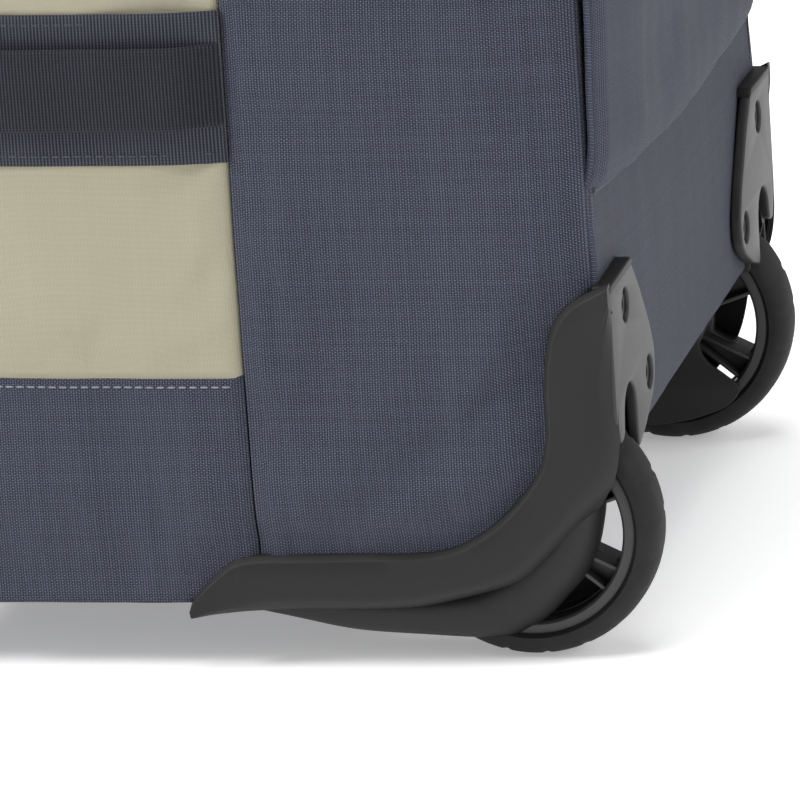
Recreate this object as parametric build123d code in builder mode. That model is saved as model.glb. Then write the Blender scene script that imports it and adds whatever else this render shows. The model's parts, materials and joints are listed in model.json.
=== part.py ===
from build123d import *
import os

os.makedirs("parts", exist_ok=True)

# Softside upright suitcase on two rear wheels.
# +X is the right-hand side, +Y the back, +Z up. The origin is on the floor, under the middle.
# All sizes are in millimetres.

# Overall sizes
body_width = 310.0        # across the outer faces of the side panels
body_top = 640.0          # floor to the outer face of the top panel
overall_depth = 320.0     # front pocket face to the back of the tyres

# Soft panels
panel_t = 6.0             # padded fabric panel
panel_gap = 0.4           # between neighbouring panels
floor_gap = 24.0          # floor to the bottom panel
heel_rise = 44.0          # height and run of the slanted heel between the wheels
side_seam_ahead = 90.0    # side seam ahead of the wheel axis
lower_side_h = 80.0       # lower side panel, above the bottom panel
upper_side_h = 74.0       # upper side panel, below the top panel
kick_panel_h = 92.0       # heavy lower back panel, above the heel

# Wheels
wheel_d = 90.0
tyre_w = 23.0
tyre_t = 8.5
tread_edge_r = 6.0
rim_ring_t = 3.0
hub_r = 14.0
spoke_count = 6
spoke_w = 8.0
spoke_depth = 15.0
spoke_groove_w = 4.0
spoke_groove_depth = 5.0
bearing_r = 11.0
bearing_w = 7.0
axle_d = 8.0
bearing_clearance = 0.05
hub_bore_r = 6.5
axle_bite = 9.0           # axle's hold in the outer cheek
wheel_inset = 25.0        # wheel middle plane inside the side panel's face

# Wheel housing and its corner guard
guard_t = 2.7             # guard arms on the side panel
guard_gap = 0.3
guard_reach = 114.0       # guard tip ahead of the wheel axis
guard_drop = 6.0          # guard's lower edge below the bottom panel
arm_below_axle = 4.0      # guard's lower arm ends this far below the axle
guard_arm_back = 23.5     # upright arm's width, from the back plate
guard_rise = 100.0        # guard's top above the wheel axis
well_gap = 4.5            # tyre to the wheel well, all round
well_side_gap = 1.5
well_t = 3.5
cheek_t = 4.0
plate_behind = 36.0       # back plate's face behind the wheel axis
plate_t = 3.0
plate_inboard = 46.0      # plate's inner edge from the wheel's middle plane
plate_top = 95.0          # plate's top above the wheel axis
plate_low = 23.0          # plate's lower edge above the wheel axis
slot_w = 21.0
screw_hole_r = 2.1
screw_head_r = 5.6
screw_head_t = 1.4
screw_len = 12.0

# Front feet
foot_w = 46.0
foot_l = 30.0
foot_from_side = 116.0
foot_draft = 8.0

# Telescopic handle
tube_spacing = 150.0
outer_tube_w = 26.0
outer_tube_d = 16.0
tube_wall = 1.2
tube_clearance = 0.6
tube_corner_r = 5.0
tube_foot_h = 24.0
tube_foot_t = 3.5
tube_rise = 2.0           # each inner stage starts this much higher
tube_standoff = 6.0       # tube feet ahead of the back board
collar_h = 16.0           # plain length at each tube's top
bezel_l = 214.0
bezel_w = 46.0
bezel_rim = 6.0
bezel_t = 2.5
bezel_depth = 14.0
bezel_inner_r = 6.0
bezel_step_r = 8.0
bezel_outer_r = 10.0
tape_end_gap = 12.0
handle_rise_l = 22.0
grip_bar_h = 20.0
grip_bar_d = 25.0
grip_gap_h = 20.0
grip_leg_w = 34.0
button_l = 44.0
button_w = 14.0
button_h = 7.0
button_proud = 1.2
button_travel = 4.0
button_gap = 0.4
button_pocket_h = 14.0
rod_r = 1.6
pin_r = 2.4
pin_len = 5.0

# Boards and lining
board_t = 3.0
lining_t = 3.0
lining_from_back = 42.0
frame_wire_r = 2.0

# Lid
lid_depth = 30.0
zip_half_w = 4.6
zip_split = 0.3
zip_tape_t = 2.0
zip_bead_t = 1.6
zip_bead_w = 1.8
zip_sink = 2.0            # tape's outer face below the panel's face
hinge_clear = 0.4
pocket_depth = 35.0
pocket_wall = 3.0
pocket_side_inset = 22.0
lower_pocket_h = 300.0
upper_pocket_h = 168.0
pocket_bottom = 52.0      # lower pocket's bottom above the bottom panel
pocket_between = 45.0

# Zip sliders and pull tabs
slider_l = 12.0
slider_w = 8.0
slider_t = 1.2
slider_clear = 0.4
bridge_h = 3.0
bridge_t = 2.0
bridge_l = 8.0
bridge_post = 1.4
tab_rod_r = 0.7
tab_arm_w = 1.2
tab_arm_gap = 0.4
tab_l = 34.0
tab_w = 9.0
tab_t = 1.4

# Webbing and handles
wide_band_w = 52.0
narrow_band_w = 25.0
band_t = 1.2
strap_t = 2.0
strap_standoff = 8.0
strap_ramp = 16.0
lower_band_z = 205.0
upper_band_below_top = 181.0
carry_handle_l = 170.0
carry_handle_w = 28.0
handle_pad_t = 8.0
handle_gap_h = 14.0
handle_lift = 9.0
handle_end_t = 2.0
handle_end_l = 22.0
anchor_l = 40.0
anchor_t = 2.5
pack_strap_w = 25.0
buckle_w = 34.0
buckle_t = 9.0

# Derived places
wheel_r = wheel_d / 2
half_w = body_width / 2
half_d = overall_depth / 2
wheel_x = half_w - wheel_inset
axle_y = half_d - wheel_r
axle_z = wheel_r
plate_y = axle_y + plate_behind
back_y = plate_y - plate_t - guard_gap - 1.7
seam_y = axle_y - side_seam_ahead
pocket_front_y = -half_d
pocket_back_y = pocket_front_y + pocket_depth
lid_front_y = pocket_back_y + panel_gap
lid_back_y = lid_front_y + lid_depth
zip_y = lid_back_y + zip_half_w
case_front_y = zip_y + zip_half_w
inner_w = half_w - panel_t - panel_gap
heel_y = back_y - heel_rise
heel_z = floor_gap + heel_rise
guard_x = half_w + guard_gap
guard_out_x = guard_x + guard_t
well_inner_r = wheel_r + well_gap
well_outer_r = well_inner_r + well_t
cheek_in = tyre_w / 2 + well_side_gap
cheek_out = cheek_in + cheek_t
well_side_x = wheel_x - cheek_out - guard_gap
well_front_y = axle_y - well_outer_r - guard_gap
well_top_z = axle_z + well_outer_r + guard_gap
board_back_y = back_y - panel_t - panel_gap
tube_y = board_back_y - board_t - tube_standoff - tube_foot_t - outer_tube_d / 2
tube_low_z = heel_z + panel_t
tube_x = tube_spacing / 2
lining_y = back_y - lining_from_back
arm_low_z = floor_gap - guard_drop
arm_top_z = axle_z - arm_below_axle
band_centres = (lower_band_z, body_top - upper_band_below_top)
far_x = half_w + band_t + strap_standoff + strap_t
stage_step = tube_wall + tube_clearance / 2
tube_top_z = body_top - bezel_depth - bezel_t - panel_gap
stage_shrinks = (0.0, stage_step, 2 * stage_step)
rod_bottom = tube_low_z + tube_foot_t + 2 * tube_rise + 24
pin_z = rod_bottom - 8
pin_front_y = tube_y - outer_tube_d / 2 + 2 * stage_step - tube_clearance / 2 - 0.5


def block(x0, x1, y0, y1, z0, z1, mode=Mode.ADD):
    """A box between two corners, in the current part."""
    with Locations(((x0 + x1) / 2, (y0 + y1) / 2, (z0 + z1) / 2)):
        Box(abs(x1 - x0), abs(y1 - y0), abs(z1 - z0), mode=mode)


def twin(builder):
    """The left-hand twin of a right-hand piece."""
    with BuildPart() as left:
        mirror(builder.part, about=Plane.YZ)
    return left


def write(builder, name):
    """Label a finished piece and write it."""
    builder.part.label = name
    export_step(builder.part, f"parts/{name}.step")


def write_pair(builder, name):
    """Write a right-hand piece and its left-hand twin."""
    write(builder, f"{name}_right")
    write(twin(builder), f"{name}_left")


# ---------------------------------------------------------------- wheels

def rounded_tyre():
    """The tyre's section, in the current sketch, for a turn about the sketch's X axis."""
    with Locations((0, (wheel_r + wheel_r - tyre_t) / 2)):
        tread = Rectangle(tyre_w, tyre_t)
    fillet(tread.vertices().group_by(Axis.Y)[-1], tread_edge_r)


wheel_plane = Plane(origin=(wheel_x, axle_y, axle_z), x_dir=(1, 0, 0), z_dir=(0, 1, 0))
spin_axis = Axis((wheel_x, axle_y, axle_z), (1, 0, 0))
disc_plane = Plane(origin=(wheel_x, axle_y, axle_z), x_dir=(0, 1, 0), z_dir=(1, 0, 0))

with BuildPart() as tyre:
    with BuildSketch(wheel_plane):
        rounded_tyre()
    revolve(axis=spin_axis)
write_pair(tyre, "tyre")

rim_r = wheel_r - tyre_t
hub_half = tyre_w / 2 - 0.5
with BuildPart() as wheel_rim:
    with BuildSketch(disc_plane.offset(-tyre_w / 2 + 1)):
        Circle(rim_r)
        Circle(rim_r - rim_ring_t, mode=Mode.SUBTRACT)
    extrude(amount=tyre_w - 2)
    with BuildSketch(disc_plane.offset(-hub_half)):
        Circle(hub_r)
    extrude(amount=2 * hub_half)
    spoke_run = rim_r - rim_ring_t / 2 - hub_r / 2
    with BuildSketch(disc_plane.offset(-spoke_depth / 2)):
        with PolarLocations((rim_r - rim_ring_t / 2 + hub_r / 2) / 2, spoke_count):
            Rectangle(spoke_run, spoke_w)
        Circle(hub_r - 1, mode=Mode.SUBTRACT)
    extrude(amount=spoke_depth)
    groove_mid = (rim_r - rim_ring_t + hub_r) / 2
    groove_run = rim_r - rim_ring_t - hub_r - 1
    for face in (-1, 1):
        with BuildSketch(disc_plane.offset(face * spoke_depth / 2)):
            with PolarLocations(groove_mid, spoke_count):
                Rectangle(groove_run, spoke_groove_w)
        extrude(amount=-face * spoke_groove_depth, mode=Mode.SUBTRACT)
    with BuildSketch(disc_plane.offset(-hub_half)):
        Circle(bearing_r)
    extrude(amount=bearing_w, mode=Mode.SUBTRACT)
    with BuildSketch(disc_plane.offset(hub_half)):
        Circle(bearing_r)
    extrude(amount=-bearing_w, mode=Mode.SUBTRACT)
    with BuildSketch(disc_plane.offset(-hub_half)):
        Circle(hub_bore_r)
    extrude(amount=2 * hub_half, mode=Mode.SUBTRACT)
write_pair(wheel_rim, "wheel_rim")

axle_r = axle_d / 2
with BuildPart() as wheel_bearings:
    for start in (-hub_half, hub_half - bearing_w):
        with BuildSketch(disc_plane.offset(start)):
            Circle(bearing_r)
            Circle(axle_r + bearing_clearance, mode=Mode.SUBTRACT)
        extrude(amount=bearing_w)
write_pair(wheel_bearings, "wheel_bearings")

axle_out = cheek_in + axle_bite
with BuildPart() as axles:
    with BuildSketch(disc_plane.offset(-cheek_out)):
        Circle(axle_r)
    extrude(amount=cheek_out + axle_out)
    mirror(about=Plane.YZ)
write(axles, "axles")


# ---------------------------------------------------------------- wheel housing

def side_point(y, z):
    """A point of the housing's side outline, from the wheel axis."""
    return (axle_y + y, axle_z + z)


def guard_outline():
    """The L-shaped corner guard seen from the side."""
    low = arm_low_z - axle_z
    high = arm_top_z - axle_z
    arm_front = plate_behind - guard_arm_back
    tip = side_point(-guard_reach, low + 7)
    slope = side_point(-guard_reach + 17, high - 1)
    bend = side_point(-30, high + 1)
    turn_mid = side_point(arm_front - 12, high + 15)
    upright = side_point(arm_front, high + 43)
    shoulder = side_point(arm_front + 1, guard_rise - 34)
    crown_mid = side_point(arm_front + 8, guard_rise - 17)
    crown = side_point(plate_behind, guard_rise - 6)
    heel = side_point(plate_behind, 33)
    heel_mid = side_point(10, 0.35 * low)
    toe = side_point(-36, low)
    nose = side_point(-guard_reach + 7, low)
    with BuildSketch() as outline:
        with BuildLine():
            Line(tip, slope)
            Line(slope, bend)
            ThreePointArc(bend, turn_mid, upright)
            Line(upright, shoulder)
            ThreePointArc(shoulder, crown_mid, crown)
            Line(crown, heel)
            ThreePointArc(heel, heel_mid, toe)
            Line(toe, nose)
            Line(nose, tip)
        make_face()
    return outline.sketch


def lobe_outline():
    """The fairing that wraps the front and bottom of the wheel, seen from the side."""
    shelf = floor_gap - panel_gap - axle_z
    start = side_point(-84, shelf)
    dip = side_point(-62, -34)
    low_front = side_point(-38, -37)
    low_back = side_point(-11, -38)
    sweep = side_point(15, -21)
    end = side_point(27, 11)
    with BuildSketch() as outline:
        with BuildLine():
            ThreePointArc(start, dip, low_front)
            Line(low_front, low_back)
            ThreePointArc(low_back, sweep, end)
            Line(end, side_point(4, 14))
            Line(side_point(4, 14), side_point(-well_outer_r + 4, 14))
            Line(side_point(-well_outer_r + 4, 14), side_point(-well_outer_r + 4, shelf))
            Line(side_point(-well_outer_r + 4, shelf), start)
        make_face()
    return outline.sketch


def well_window():
    """The part of the housing that stands inside the side panel."""
    low = arm_low_z - axle_z
    mid_y, mid_z = side_point((plate_behind - well_outer_r) / 2, (well_outer_r + low) / 2)
    with Locations((mid_y, mid_z)):
        Rectangle(plate_behind + well_outer_r, well_outer_r - low, mode=Mode.INTERSECT)


def plate_outline():
    """The back plate's outline, from the wheel's middle plane."""
    out = guard_out_x - wheel_x
    corners = [
        (out, plate_top - 4),
        (-8, plate_top + 1),
        (-plate_inboard, plate_top - 42),
        (-plate_inboard + 3, plate_low + 12),
        (-plate_inboard + 22, plate_low),
        (out, plate_low),
    ]
    with BuildSketch() as outline:
        with BuildLine():
            Polyline([(wheel_x + x, axle_z + z) for x, z in corners], close=True)
        make_face()
    return outline.sketch


plate_plane = Plane.XZ.offset(-plate_y)
screw_places = ((wheel_x - 1, axle_z + 76), (wheel_x - 35, axle_z + 43))

with BuildPart() as wheel_housing:
    # Guard arms on the outside of the fabric
    with BuildSketch(Plane.YZ.offset(guard_x)):
        add(guard_outline())
    extrude(amount=guard_t)
    # Outer cheek between the wheel and the guard
    with BuildSketch(Plane.YZ.offset(wheel_x + cheek_in)):
        add(guard_outline())
        well_window()
    extrude(amount=guard_out_x - wheel_x - cheek_in)
    # Fairing round the front and the bottom of the wheel
    with BuildSketch(Plane.YZ.offset(wheel_x - cheek_out)):
        add(lobe_outline())
    extrude(amount=cheek_out + wheel_inset - panel_t - guard_gap)
    # Roof of the wheel well and its inner cheek
    with BuildSketch(Plane.YZ.offset(wheel_x - cheek_out)):
        with Locations((axle_y, axle_z)):
            Circle(well_outer_r)
        below = side_point(0, -well_outer_r / 2 - 22)
        with Locations(below):
            Rectangle(3 * well_outer_r, well_outer_r, mode=Mode.SUBTRACT)
        with Locations(side_point(plate_behind + well_outer_r / 2, 0)):
            Rectangle(well_outer_r, 3 * well_outer_r, mode=Mode.SUBTRACT)
        heel_cut = [side_point(plate_behind, -22), side_point(plate_behind, 18), side_point(-4, -22)]
        with BuildLine():
            Polyline(heel_cut, close=True)
        make_face(mode=Mode.SUBTRACT)
        with Locations((axle_y, axle_z)):
            Circle(axle_d + 6)
    extrude(amount=cheek_out + cheek_in + 1)
    # Back plate
    with BuildSketch(plate_plane):
        add(plate_outline())
    extrude(amount=plate_t)
    # Wheel well
    with BuildSketch(disc_plane.offset(-cheek_in)):
        Circle(well_inner_r)
    extrude(amount=2 * cheek_in, mode=Mode.SUBTRACT)
    # Slot for the tyre in the back plate
    with BuildSketch(plate_plane.offset(-1)):
        with Locations((wheel_x, axle_z + 49 - slot_w / 2)):
            Circle(slot_w / 2)
        with Locations((wheel_x, axle_z + 9)):
            Rectangle(slot_w, 80 - slot_w)
    extrude(amount=plate_t + 12, mode=Mode.SUBTRACT)
    # Bores for the axle and the screws
    with BuildSketch(disc_plane.offset(-cheek_out)):
        Circle(axle_r)
    extrude(amount=cheek_out + axle_out, mode=Mode.SUBTRACT)
    with BuildSketch(plate_plane):
        with Locations(*screw_places):
            Circle(screw_hole_r)
    extrude(amount=plate_t, mode=Mode.SUBTRACT)
    with BuildSketch(plate_plane):
        with Locations(*screw_places):
            Circle(screw_head_r)
    extrude(amount=screw_head_t, mode=Mode.SUBTRACT)
write_pair(wheel_housing, "wheel_housing")

with BuildPart() as housing_screws:
    with BuildSketch(plate_plane.offset(screw_head_t)):
        with Locations(*screw_places):
            Circle(screw_hole_r - 0.05)
    extrude(amount=screw_len)
    with BuildSketch(plate_plane.offset(0.3)):
        with Locations(*screw_places):
            Circle(screw_head_r - 0.3)
    extrude(amount=screw_head_t - 0.3)
    mirror(about=Plane.YZ)
write(housing_screws, "housing_screws")


# ---------------------------------------------------------------- soft body

def well_cut(grow=0.0):
    """Clear the two wheel wells out of the current part."""
    for side in (-1, 1):
        block(side * (well_side_x - grow), side * (half_w + 1),
              well_front_y - grow, plate_y, 0, well_top_z + grow, mode=Mode.SUBTRACT)


def screw_holes():
    """Clear the housing screws out of the current part."""
    reach = screw_len + screw_head_t + 2
    for side in (-1, 1):
        for screw_x, screw_z in screw_places:
            with Locations(Location((side * screw_x, plate_y - reach / 2, screw_z), (90, 0, 0))):
                Cylinder(screw_hole_r + 0.2, reach, mode=Mode.SUBTRACT)


with BuildPart() as side_rear:
    with BuildSketch(Plane.YZ.offset(half_w - panel_t)):
        with BuildLine():
            Polyline([
                (seam_y + panel_gap / 2, floor_gap),
                (seam_y + panel_gap / 2, body_top),
                (back_y, body_top),
                (back_y, heel_z),
                (heel_y, floor_gap),
            ], close=True)
        make_face()
    extrude(amount=panel_t)
    # The housing's outer cheek stands in the panel's lower rear corner
    with BuildSketch(Plane.YZ.offset(half_w - panel_t)):
        add(guard_outline())
        well_window()
        offset(amount=guard_gap)
    extrude(amount=panel_t, mode=Mode.SUBTRACT)
write_pair(side_rear, "side_rear_panel")

lower_seam_z = floor_gap + lower_side_h
upper_seam_z = body_top - upper_side_h
side_front_y = case_front_y + panel_gap
side_back_y = seam_y - panel_gap / 2
with BuildPart() as side_main:
    block(half_w - panel_t, half_w, side_front_y, side_back_y, lower_seam_z, upper_seam_z)
write_pair(side_main, "side_main_panel")

with BuildPart() as side_corners:
    block(half_w - panel_t, half_w, side_front_y, side_back_y, floor_gap, lower_seam_z - panel_gap)
    block(half_w - panel_t, half_w, side_front_y, side_back_y, upper_seam_z + panel_gap, body_top)
write_pair(side_corners, "side_corner_panels")

with BuildPart() as top_panel:
    block(-inner_w, inner_w, case_front_y + panel_gap, back_y, body_top - panel_t, body_top)
    # Cut-out for the handle bezel
    block(-bezel_l / 2 - panel_gap, bezel_l / 2 + panel_gap,
          tube_y - bezel_w / 2 - panel_gap, tube_y + bezel_w / 2 + panel_gap,
          body_top - panel_t, body_top, mode=Mode.SUBTRACT)
write(top_panel, "top_panel")

with BuildPart() as bottom_panel:
    block(-inner_w, inner_w, case_front_y + panel_gap, heel_y - panel_t, floor_gap, floor_gap + panel_t)
    well_cut()
write(bottom_panel, "bottom_panel")

heel_in = panel_t * 2 ** 0.5
with BuildPart() as heel_panel:
    with BuildSketch(Plane.YZ.offset(-inner_w)):
        with BuildLine():
            Polyline([
                (heel_y - panel_t + panel_gap, floor_gap),
                (heel_y, floor_gap),
                (back_y, heel_z),
                (back_y - panel_t, heel_z),
                (heel_y - panel_t + panel_gap, floor_gap + heel_in),
            ], close=True)
        make_face()
    extrude(amount=2 * inner_w)
    well_cut()
write(heel_panel, "heel_panel")

kick_top_z = heel_z + kick_panel_h
with BuildPart() as kick_panel:
    block(-inner_w, inner_w, back_y - panel_t, back_y, heel_z + panel_gap, kick_top_z - panel_gap)
    well_cut()
    screw_holes()
write(kick_panel, "kick_panel")

with BuildPart() as back_panel:
    block(-inner_w, inner_w, back_y - panel_t, back_y, kick_top_z, body_top - panel_t - panel_gap)
write(back_panel, "back_panel")

# ---------------------------------------------------------------- boards and frame

with BuildPart() as base_board:
    board_z = floor_gap + panel_t + panel_gap
    block(-inner_w, inner_w, case_front_y + 6, heel_y - panel_t - 2, board_z, board_z + board_t)
    well_cut(grow=panel_gap)
write(base_board, "base_board")

with BuildPart() as back_board:
    block(-inner_w, inner_w, board_back_y - board_t, board_back_y,
          heel_z + heel_in, body_top - panel_t - panel_gap)
    well_cut(grow=panel_gap)
    screw_holes()
write(back_board, "back_board")

with BuildPart() as lining_panel:
    block(-inner_w, inner_w, lining_y - lining_t, lining_y, well_top_z + 2, tube_top_z - panel_gap)
write(lining_panel, "lining_panel")

wire_x = inner_w - frame_wire_r
wire_low = floor_gap + 2 * panel_t + panel_gap
wire_high = body_top - panel_t - panel_gap - frame_wire_r
with BuildPart() as frame_hoop:
    hoop_plane = Plane.XZ.offset(-(case_front_y + 4))
    with BuildLine(hoop_plane) as hoop_path:
        Polyline([
            (-wire_x, wire_low), (wire_x, wire_low), (wire_x, wire_high), (-wire_x, wire_high),
        ], close=True)
        fillet(hoop_path.vertices(), 14)
    with BuildSketch(Plane(origin=(0, case_front_y + 4, wire_low), x_dir=(0, 1, 0), z_dir=(1, 0, 0))):
        Circle(frame_wire_r)
    sweep(path=hoop_path.wires()[0])
write(frame_hoop, "frame_hoop")

# ---------------------------------------------------------------- front feet

foot_x = half_w - foot_from_side
foot_y = case_front_y + panel_gap + foot_l / 2 + 4
foot_h = floor_gap - 0.01
with BuildPart() as front_feet:
    with BuildSketch(Plane.XY.offset(foot_h)):
        with Locations((foot_x, foot_y)):
            RectangleRounded(foot_w, foot_l, 9)
    with BuildSketch(Plane.XY):
        with Locations((foot_x, foot_y)):
            RectangleRounded(foot_w - foot_draft, foot_l - foot_draft, 6)
    loft()
    mirror(about=Plane.YZ)
write(front_feet, "front_feet")

# ---------------------------------------------------------------- telescopic handle

def tube_section(shrink):
    """One stage's outer section at the right-hand tube, in the current sketch."""
    with Locations((tube_x, tube_y)):
        RectangleRounded(outer_tube_w - 2 * shrink, outer_tube_d - 2 * shrink, tube_corner_r - shrink)


stage_names = ("outer_tubes", "middle_tubes", "inner_tubes")
grip_low_z = body_top - bezel_depth + 1.0
stage_tops = (tube_top_z, tube_top_z, grip_low_z)
for stage in range(3):
    with BuildPart() as tube:
        with BuildSketch(Plane.XY.offset(tube_low_z + tube_foot_t + stage * tube_rise)):
            tube_section(stage_shrinks[stage])
        extrude(amount=stage_tops[stage] - tube_low_z - tube_foot_t - stage * tube_rise)
        with BuildSketch(Plane.XY.offset(tube_low_z)):
            tube_section(stage_shrinks[stage] + tube_wall)
        extrude(amount=body_top, mode=Mode.SUBTRACT)
        if stage == 1:
            # Groove and stop holes for the lock pins
            groove_z = pin_z - pin_r - 0.3
            block(tube_x - pin_r - 0.3, tube_x + pin_r + 0.3, pin_front_y - 0.3, tube_y,
                  groove_z, tube_top_z - collar_h, mode=Mode.SUBTRACT)
        if stage == 2:
            with BuildSketch(Plane.XZ.offset(-tube_y)):
                with Locations((tube_x, pin_z)):
                    Circle(pin_r + 0.1)
            extrude(amount=outer_tube_d, mode=Mode.SUBTRACT)
        mirror(about=Plane.YZ)
    write(tube, stage_names[stage])

with BuildPart() as tube_feet:
    with BuildSketch(Plane.XY.offset(tube_low_z)):
        with Locations((tube_x, tube_y)):
            RectangleRounded(outer_tube_w + 2 * tube_foot_t, outer_tube_d + 2 * tube_foot_t, tube_corner_r)
    extrude(amount=tube_foot_h)
    with BuildSketch(Plane.XY.offset(tube_low_z + tube_foot_t)):
        tube_section(0.0)
    extrude(amount=tube_foot_h, mode=Mode.SUBTRACT)
    mirror(about=Plane.YZ)
write(tube_feet, "tube_feet")

with BuildPart() as handle_bezel:
    bezel_low = body_top - bezel_depth - bezel_t
    with BuildSketch(Plane.XY.offset(bezel_low)):
        with Locations((0, tube_y)):
            RectangleRounded(bezel_l - 2 * bezel_rim, bezel_w - 2 * bezel_rim, bezel_step_r)
    extrude(amount=bezel_depth + bezel_t)
    with BuildSketch(Plane.XY.offset(body_top - panel_t)):
        with Locations((0, tube_y)):
            RectangleRounded(bezel_l, bezel_w, bezel_outer_r)
    extrude(amount=panel_t + bezel_t)
    with BuildSketch(Plane.XY.offset(bezel_low + bezel_t)):
        with Locations((0, tube_y)):
            bezel_inset = bezel_rim + bezel_t
            RectangleRounded(bezel_l - 2 * bezel_inset, bezel_w - 2 * bezel_inset, bezel_inner_r)
    extrude(amount=bezel_depth + 2 * bezel_t, mode=Mode.SUBTRACT)
    with BuildSketch(Plane.XY.offset(bezel_low - 1)):
        for side in (-1, 1):
            with Locations((side * tube_x, tube_y)):
                RectangleRounded(outer_tube_w - 2 * stage_step + 0.6, outer_tube_d - 2 * stage_step + 0.6,
                                 tube_corner_r - stage_step + 0.3)
    extrude(amount=bezel_t + 2, mode=Mode.SUBTRACT)
write(handle_bezel, "handle_bezel")

grip_top_z = grip_low_z + grip_gap_h + grip_bar_h
grip_half = tube_x + grip_leg_w / 2
with BuildPart() as grip:
    with BuildSketch(Plane.XZ.offset(-tube_y - grip_bar_d / 2)):
        with BuildLine():
            Polyline([
                (-grip_half, grip_low_z),
                (-grip_half, grip_top_z - 4),
                (-grip_half + 12, grip_top_z),
                (grip_half - 12, grip_top_z),
                (grip_half, grip_top_z - 4),
                (grip_half, grip_low_z),
                (grip_half - grip_leg_w, grip_low_z),
                (grip_half - grip_leg_w, grip_low_z + grip_gap_h),
                (-grip_half + grip_leg_w, grip_low_z + grip_gap_h),
                (-grip_half + grip_leg_w, grip_low_z),
            ], close=True)
        make_face()
    extrude(amount=grip_bar_d)
    fillet(grip.edges().filter_by(Axis.X).group_by(Axis.Z)[-1], 6)
    # Pocket for the push button and the yoke below it
    block(-button_l / 2, button_l / 2, tube_y - button_w / 2, tube_y + button_w / 2,
          grip_top_z - button_pocket_h, grip_top_z + 1, mode=Mode.SUBTRACT)
    # Channel for the release yoke, and the bores for its rods
    channel_low = grip_top_z - button_pocket_h
    channel_h = button_pocket_h - button_h + button_proud + 0.6
    block(-tube_x - 4, tube_x + 4, tube_y - 3, tube_y + 3,
          channel_low, channel_low + channel_h, mode=Mode.SUBTRACT)
    for side in (-1, 1):
        block(side * tube_x - 3, side * tube_x + 3, tube_y - 3, tube_y + 3,
              grip_low_z, channel_low + 1, mode=Mode.SUBTRACT)
write(grip, "grip")

button_low = grip_top_z - button_h + button_proud
with BuildPart() as push_button:
    with BuildSketch(Plane.XY.offset(button_low)):
        with Locations((0, tube_y)):
            RectangleRounded(button_l - 2 * button_gap, button_w - 2 * button_gap, 5)
    extrude(amount=button_h)
    fillet(push_button.faces().sort_by(Axis.Z)[-1].edges(), 1.2)
write(push_button, "push_button")

yoke_z = channel_low + button_travel + 0.6
with BuildPart() as release_yoke:
    block(-tube_x - 2.5, tube_x + 2.5, tube_y - 2.2, tube_y + 2.2, yoke_z, button_low)
    for side in (-1, 1):
        with BuildSketch(Plane.XY.offset(rod_bottom)):
            with Locations((side * tube_x, tube_y)):
                Circle(rod_r)
        extrude(amount=yoke_z + 1 - rod_bottom)
write(release_yoke, "release_yoke")

with BuildPart() as button_spring:
    with BuildSketch(Plane.XY.offset(channel_low)):
        with Locations((14, tube_y)):
            Circle(2.0)
            Circle(1.4, mode=Mode.SUBTRACT)
    extrude(amount=yoke_z - channel_low)
write(button_spring, "button_spring")

with BuildPart() as lock_pins:
    with BuildSketch(Plane.XZ.offset(-pin_front_y)):
        with Locations((tube_x, pin_z)):
            Circle(pin_r)
    extrude(amount=-pin_len)
    mirror(about=Plane.YZ)
write(lock_pins, "lock_pins")


# ---------------------------------------------------------------- lid

lid_low = floor_gap + 2.0
lid_high = body_top - 2.0
with BuildPart() as lid_gusset:
    block(-half_w, half_w, lid_front_y, lid_back_y - panel_gap, lid_low, lid_high)
    block(-half_w + panel_t, half_w - panel_t, lid_front_y - 1, lid_back_y + 1,
          lid_low + panel_t, lid_high - panel_t, mode=Mode.SUBTRACT)
write(lid_gusset, "lid_gusset")

with BuildPart() as lid_panel:
    block(-half_w + panel_t + panel_gap, half_w - panel_t - panel_gap, lid_front_y, lid_front_y + panel_t,
          lid_low + panel_t + panel_gap, lid_high - panel_t - panel_gap)
write(lid_panel, "lid_panel")

pocket_x = half_w - pocket_side_inset
lower_pocket_z = floor_gap + pocket_bottom
upper_pocket_z = lower_pocket_z + lower_pocket_h + pocket_between
pocket_rows = (
    ("lower_pocket", lower_pocket_z, lower_pocket_h, pocket_front_y),
    ("upper_pocket", upper_pocket_z, upper_pocket_h, pocket_front_y + 6),
)
for pocket_name, pocket_z, pocket_h, front_y in pocket_rows:
    with BuildPart() as pocket:
        block(-pocket_x, pocket_x, front_y, pocket_back_y, pocket_z, pocket_z + pocket_h)
        # Room inside, open to the top
        block(-pocket_x + pocket_wall, pocket_x - pocket_wall, front_y + pocket_wall,
              pocket_back_y - pocket_wall, pocket_z + pocket_wall, pocket_z + pocket_h + 1,
              mode=Mode.SUBTRACT)
    write(pocket, pocket_name)


# ---------------------------------------------------------------- main zip

tape_x = half_w - zip_sink
tape_low = lid_low + zip_sink
tape_high = lid_high - zip_sink


def zip_half(tape_y0, tape_y1, bead_y0, bead_y1):
    """One half of the main zip, round three sides of the suitcase."""
    with BuildPart() as half:
        reach = tape_x + zip_bead_t
        for y0, y1, out in ((tape_y0, tape_y1, 0.0), (bead_y0, bead_y1, zip_bead_t)):
            with BuildSketch(Plane.XZ.offset(-y1)):
                with Locations((0, (tape_low + tape_high) / 2)):
                    Rectangle(2 * (tape_x + out), tape_high - tape_low + 2 * out)
                    Rectangle(2 * (tape_x - zip_tape_t), tape_high - tape_low - 2 * zip_tape_t,
                              mode=Mode.SUBTRACT)
            extrude(amount=y1 - y0)
        block(-reach - 1, -tape_x + tape_end_gap, zip_y - lid_depth, zip_y + lid_depth, 0, body_top,
              mode=Mode.SUBTRACT)
    return half


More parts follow.
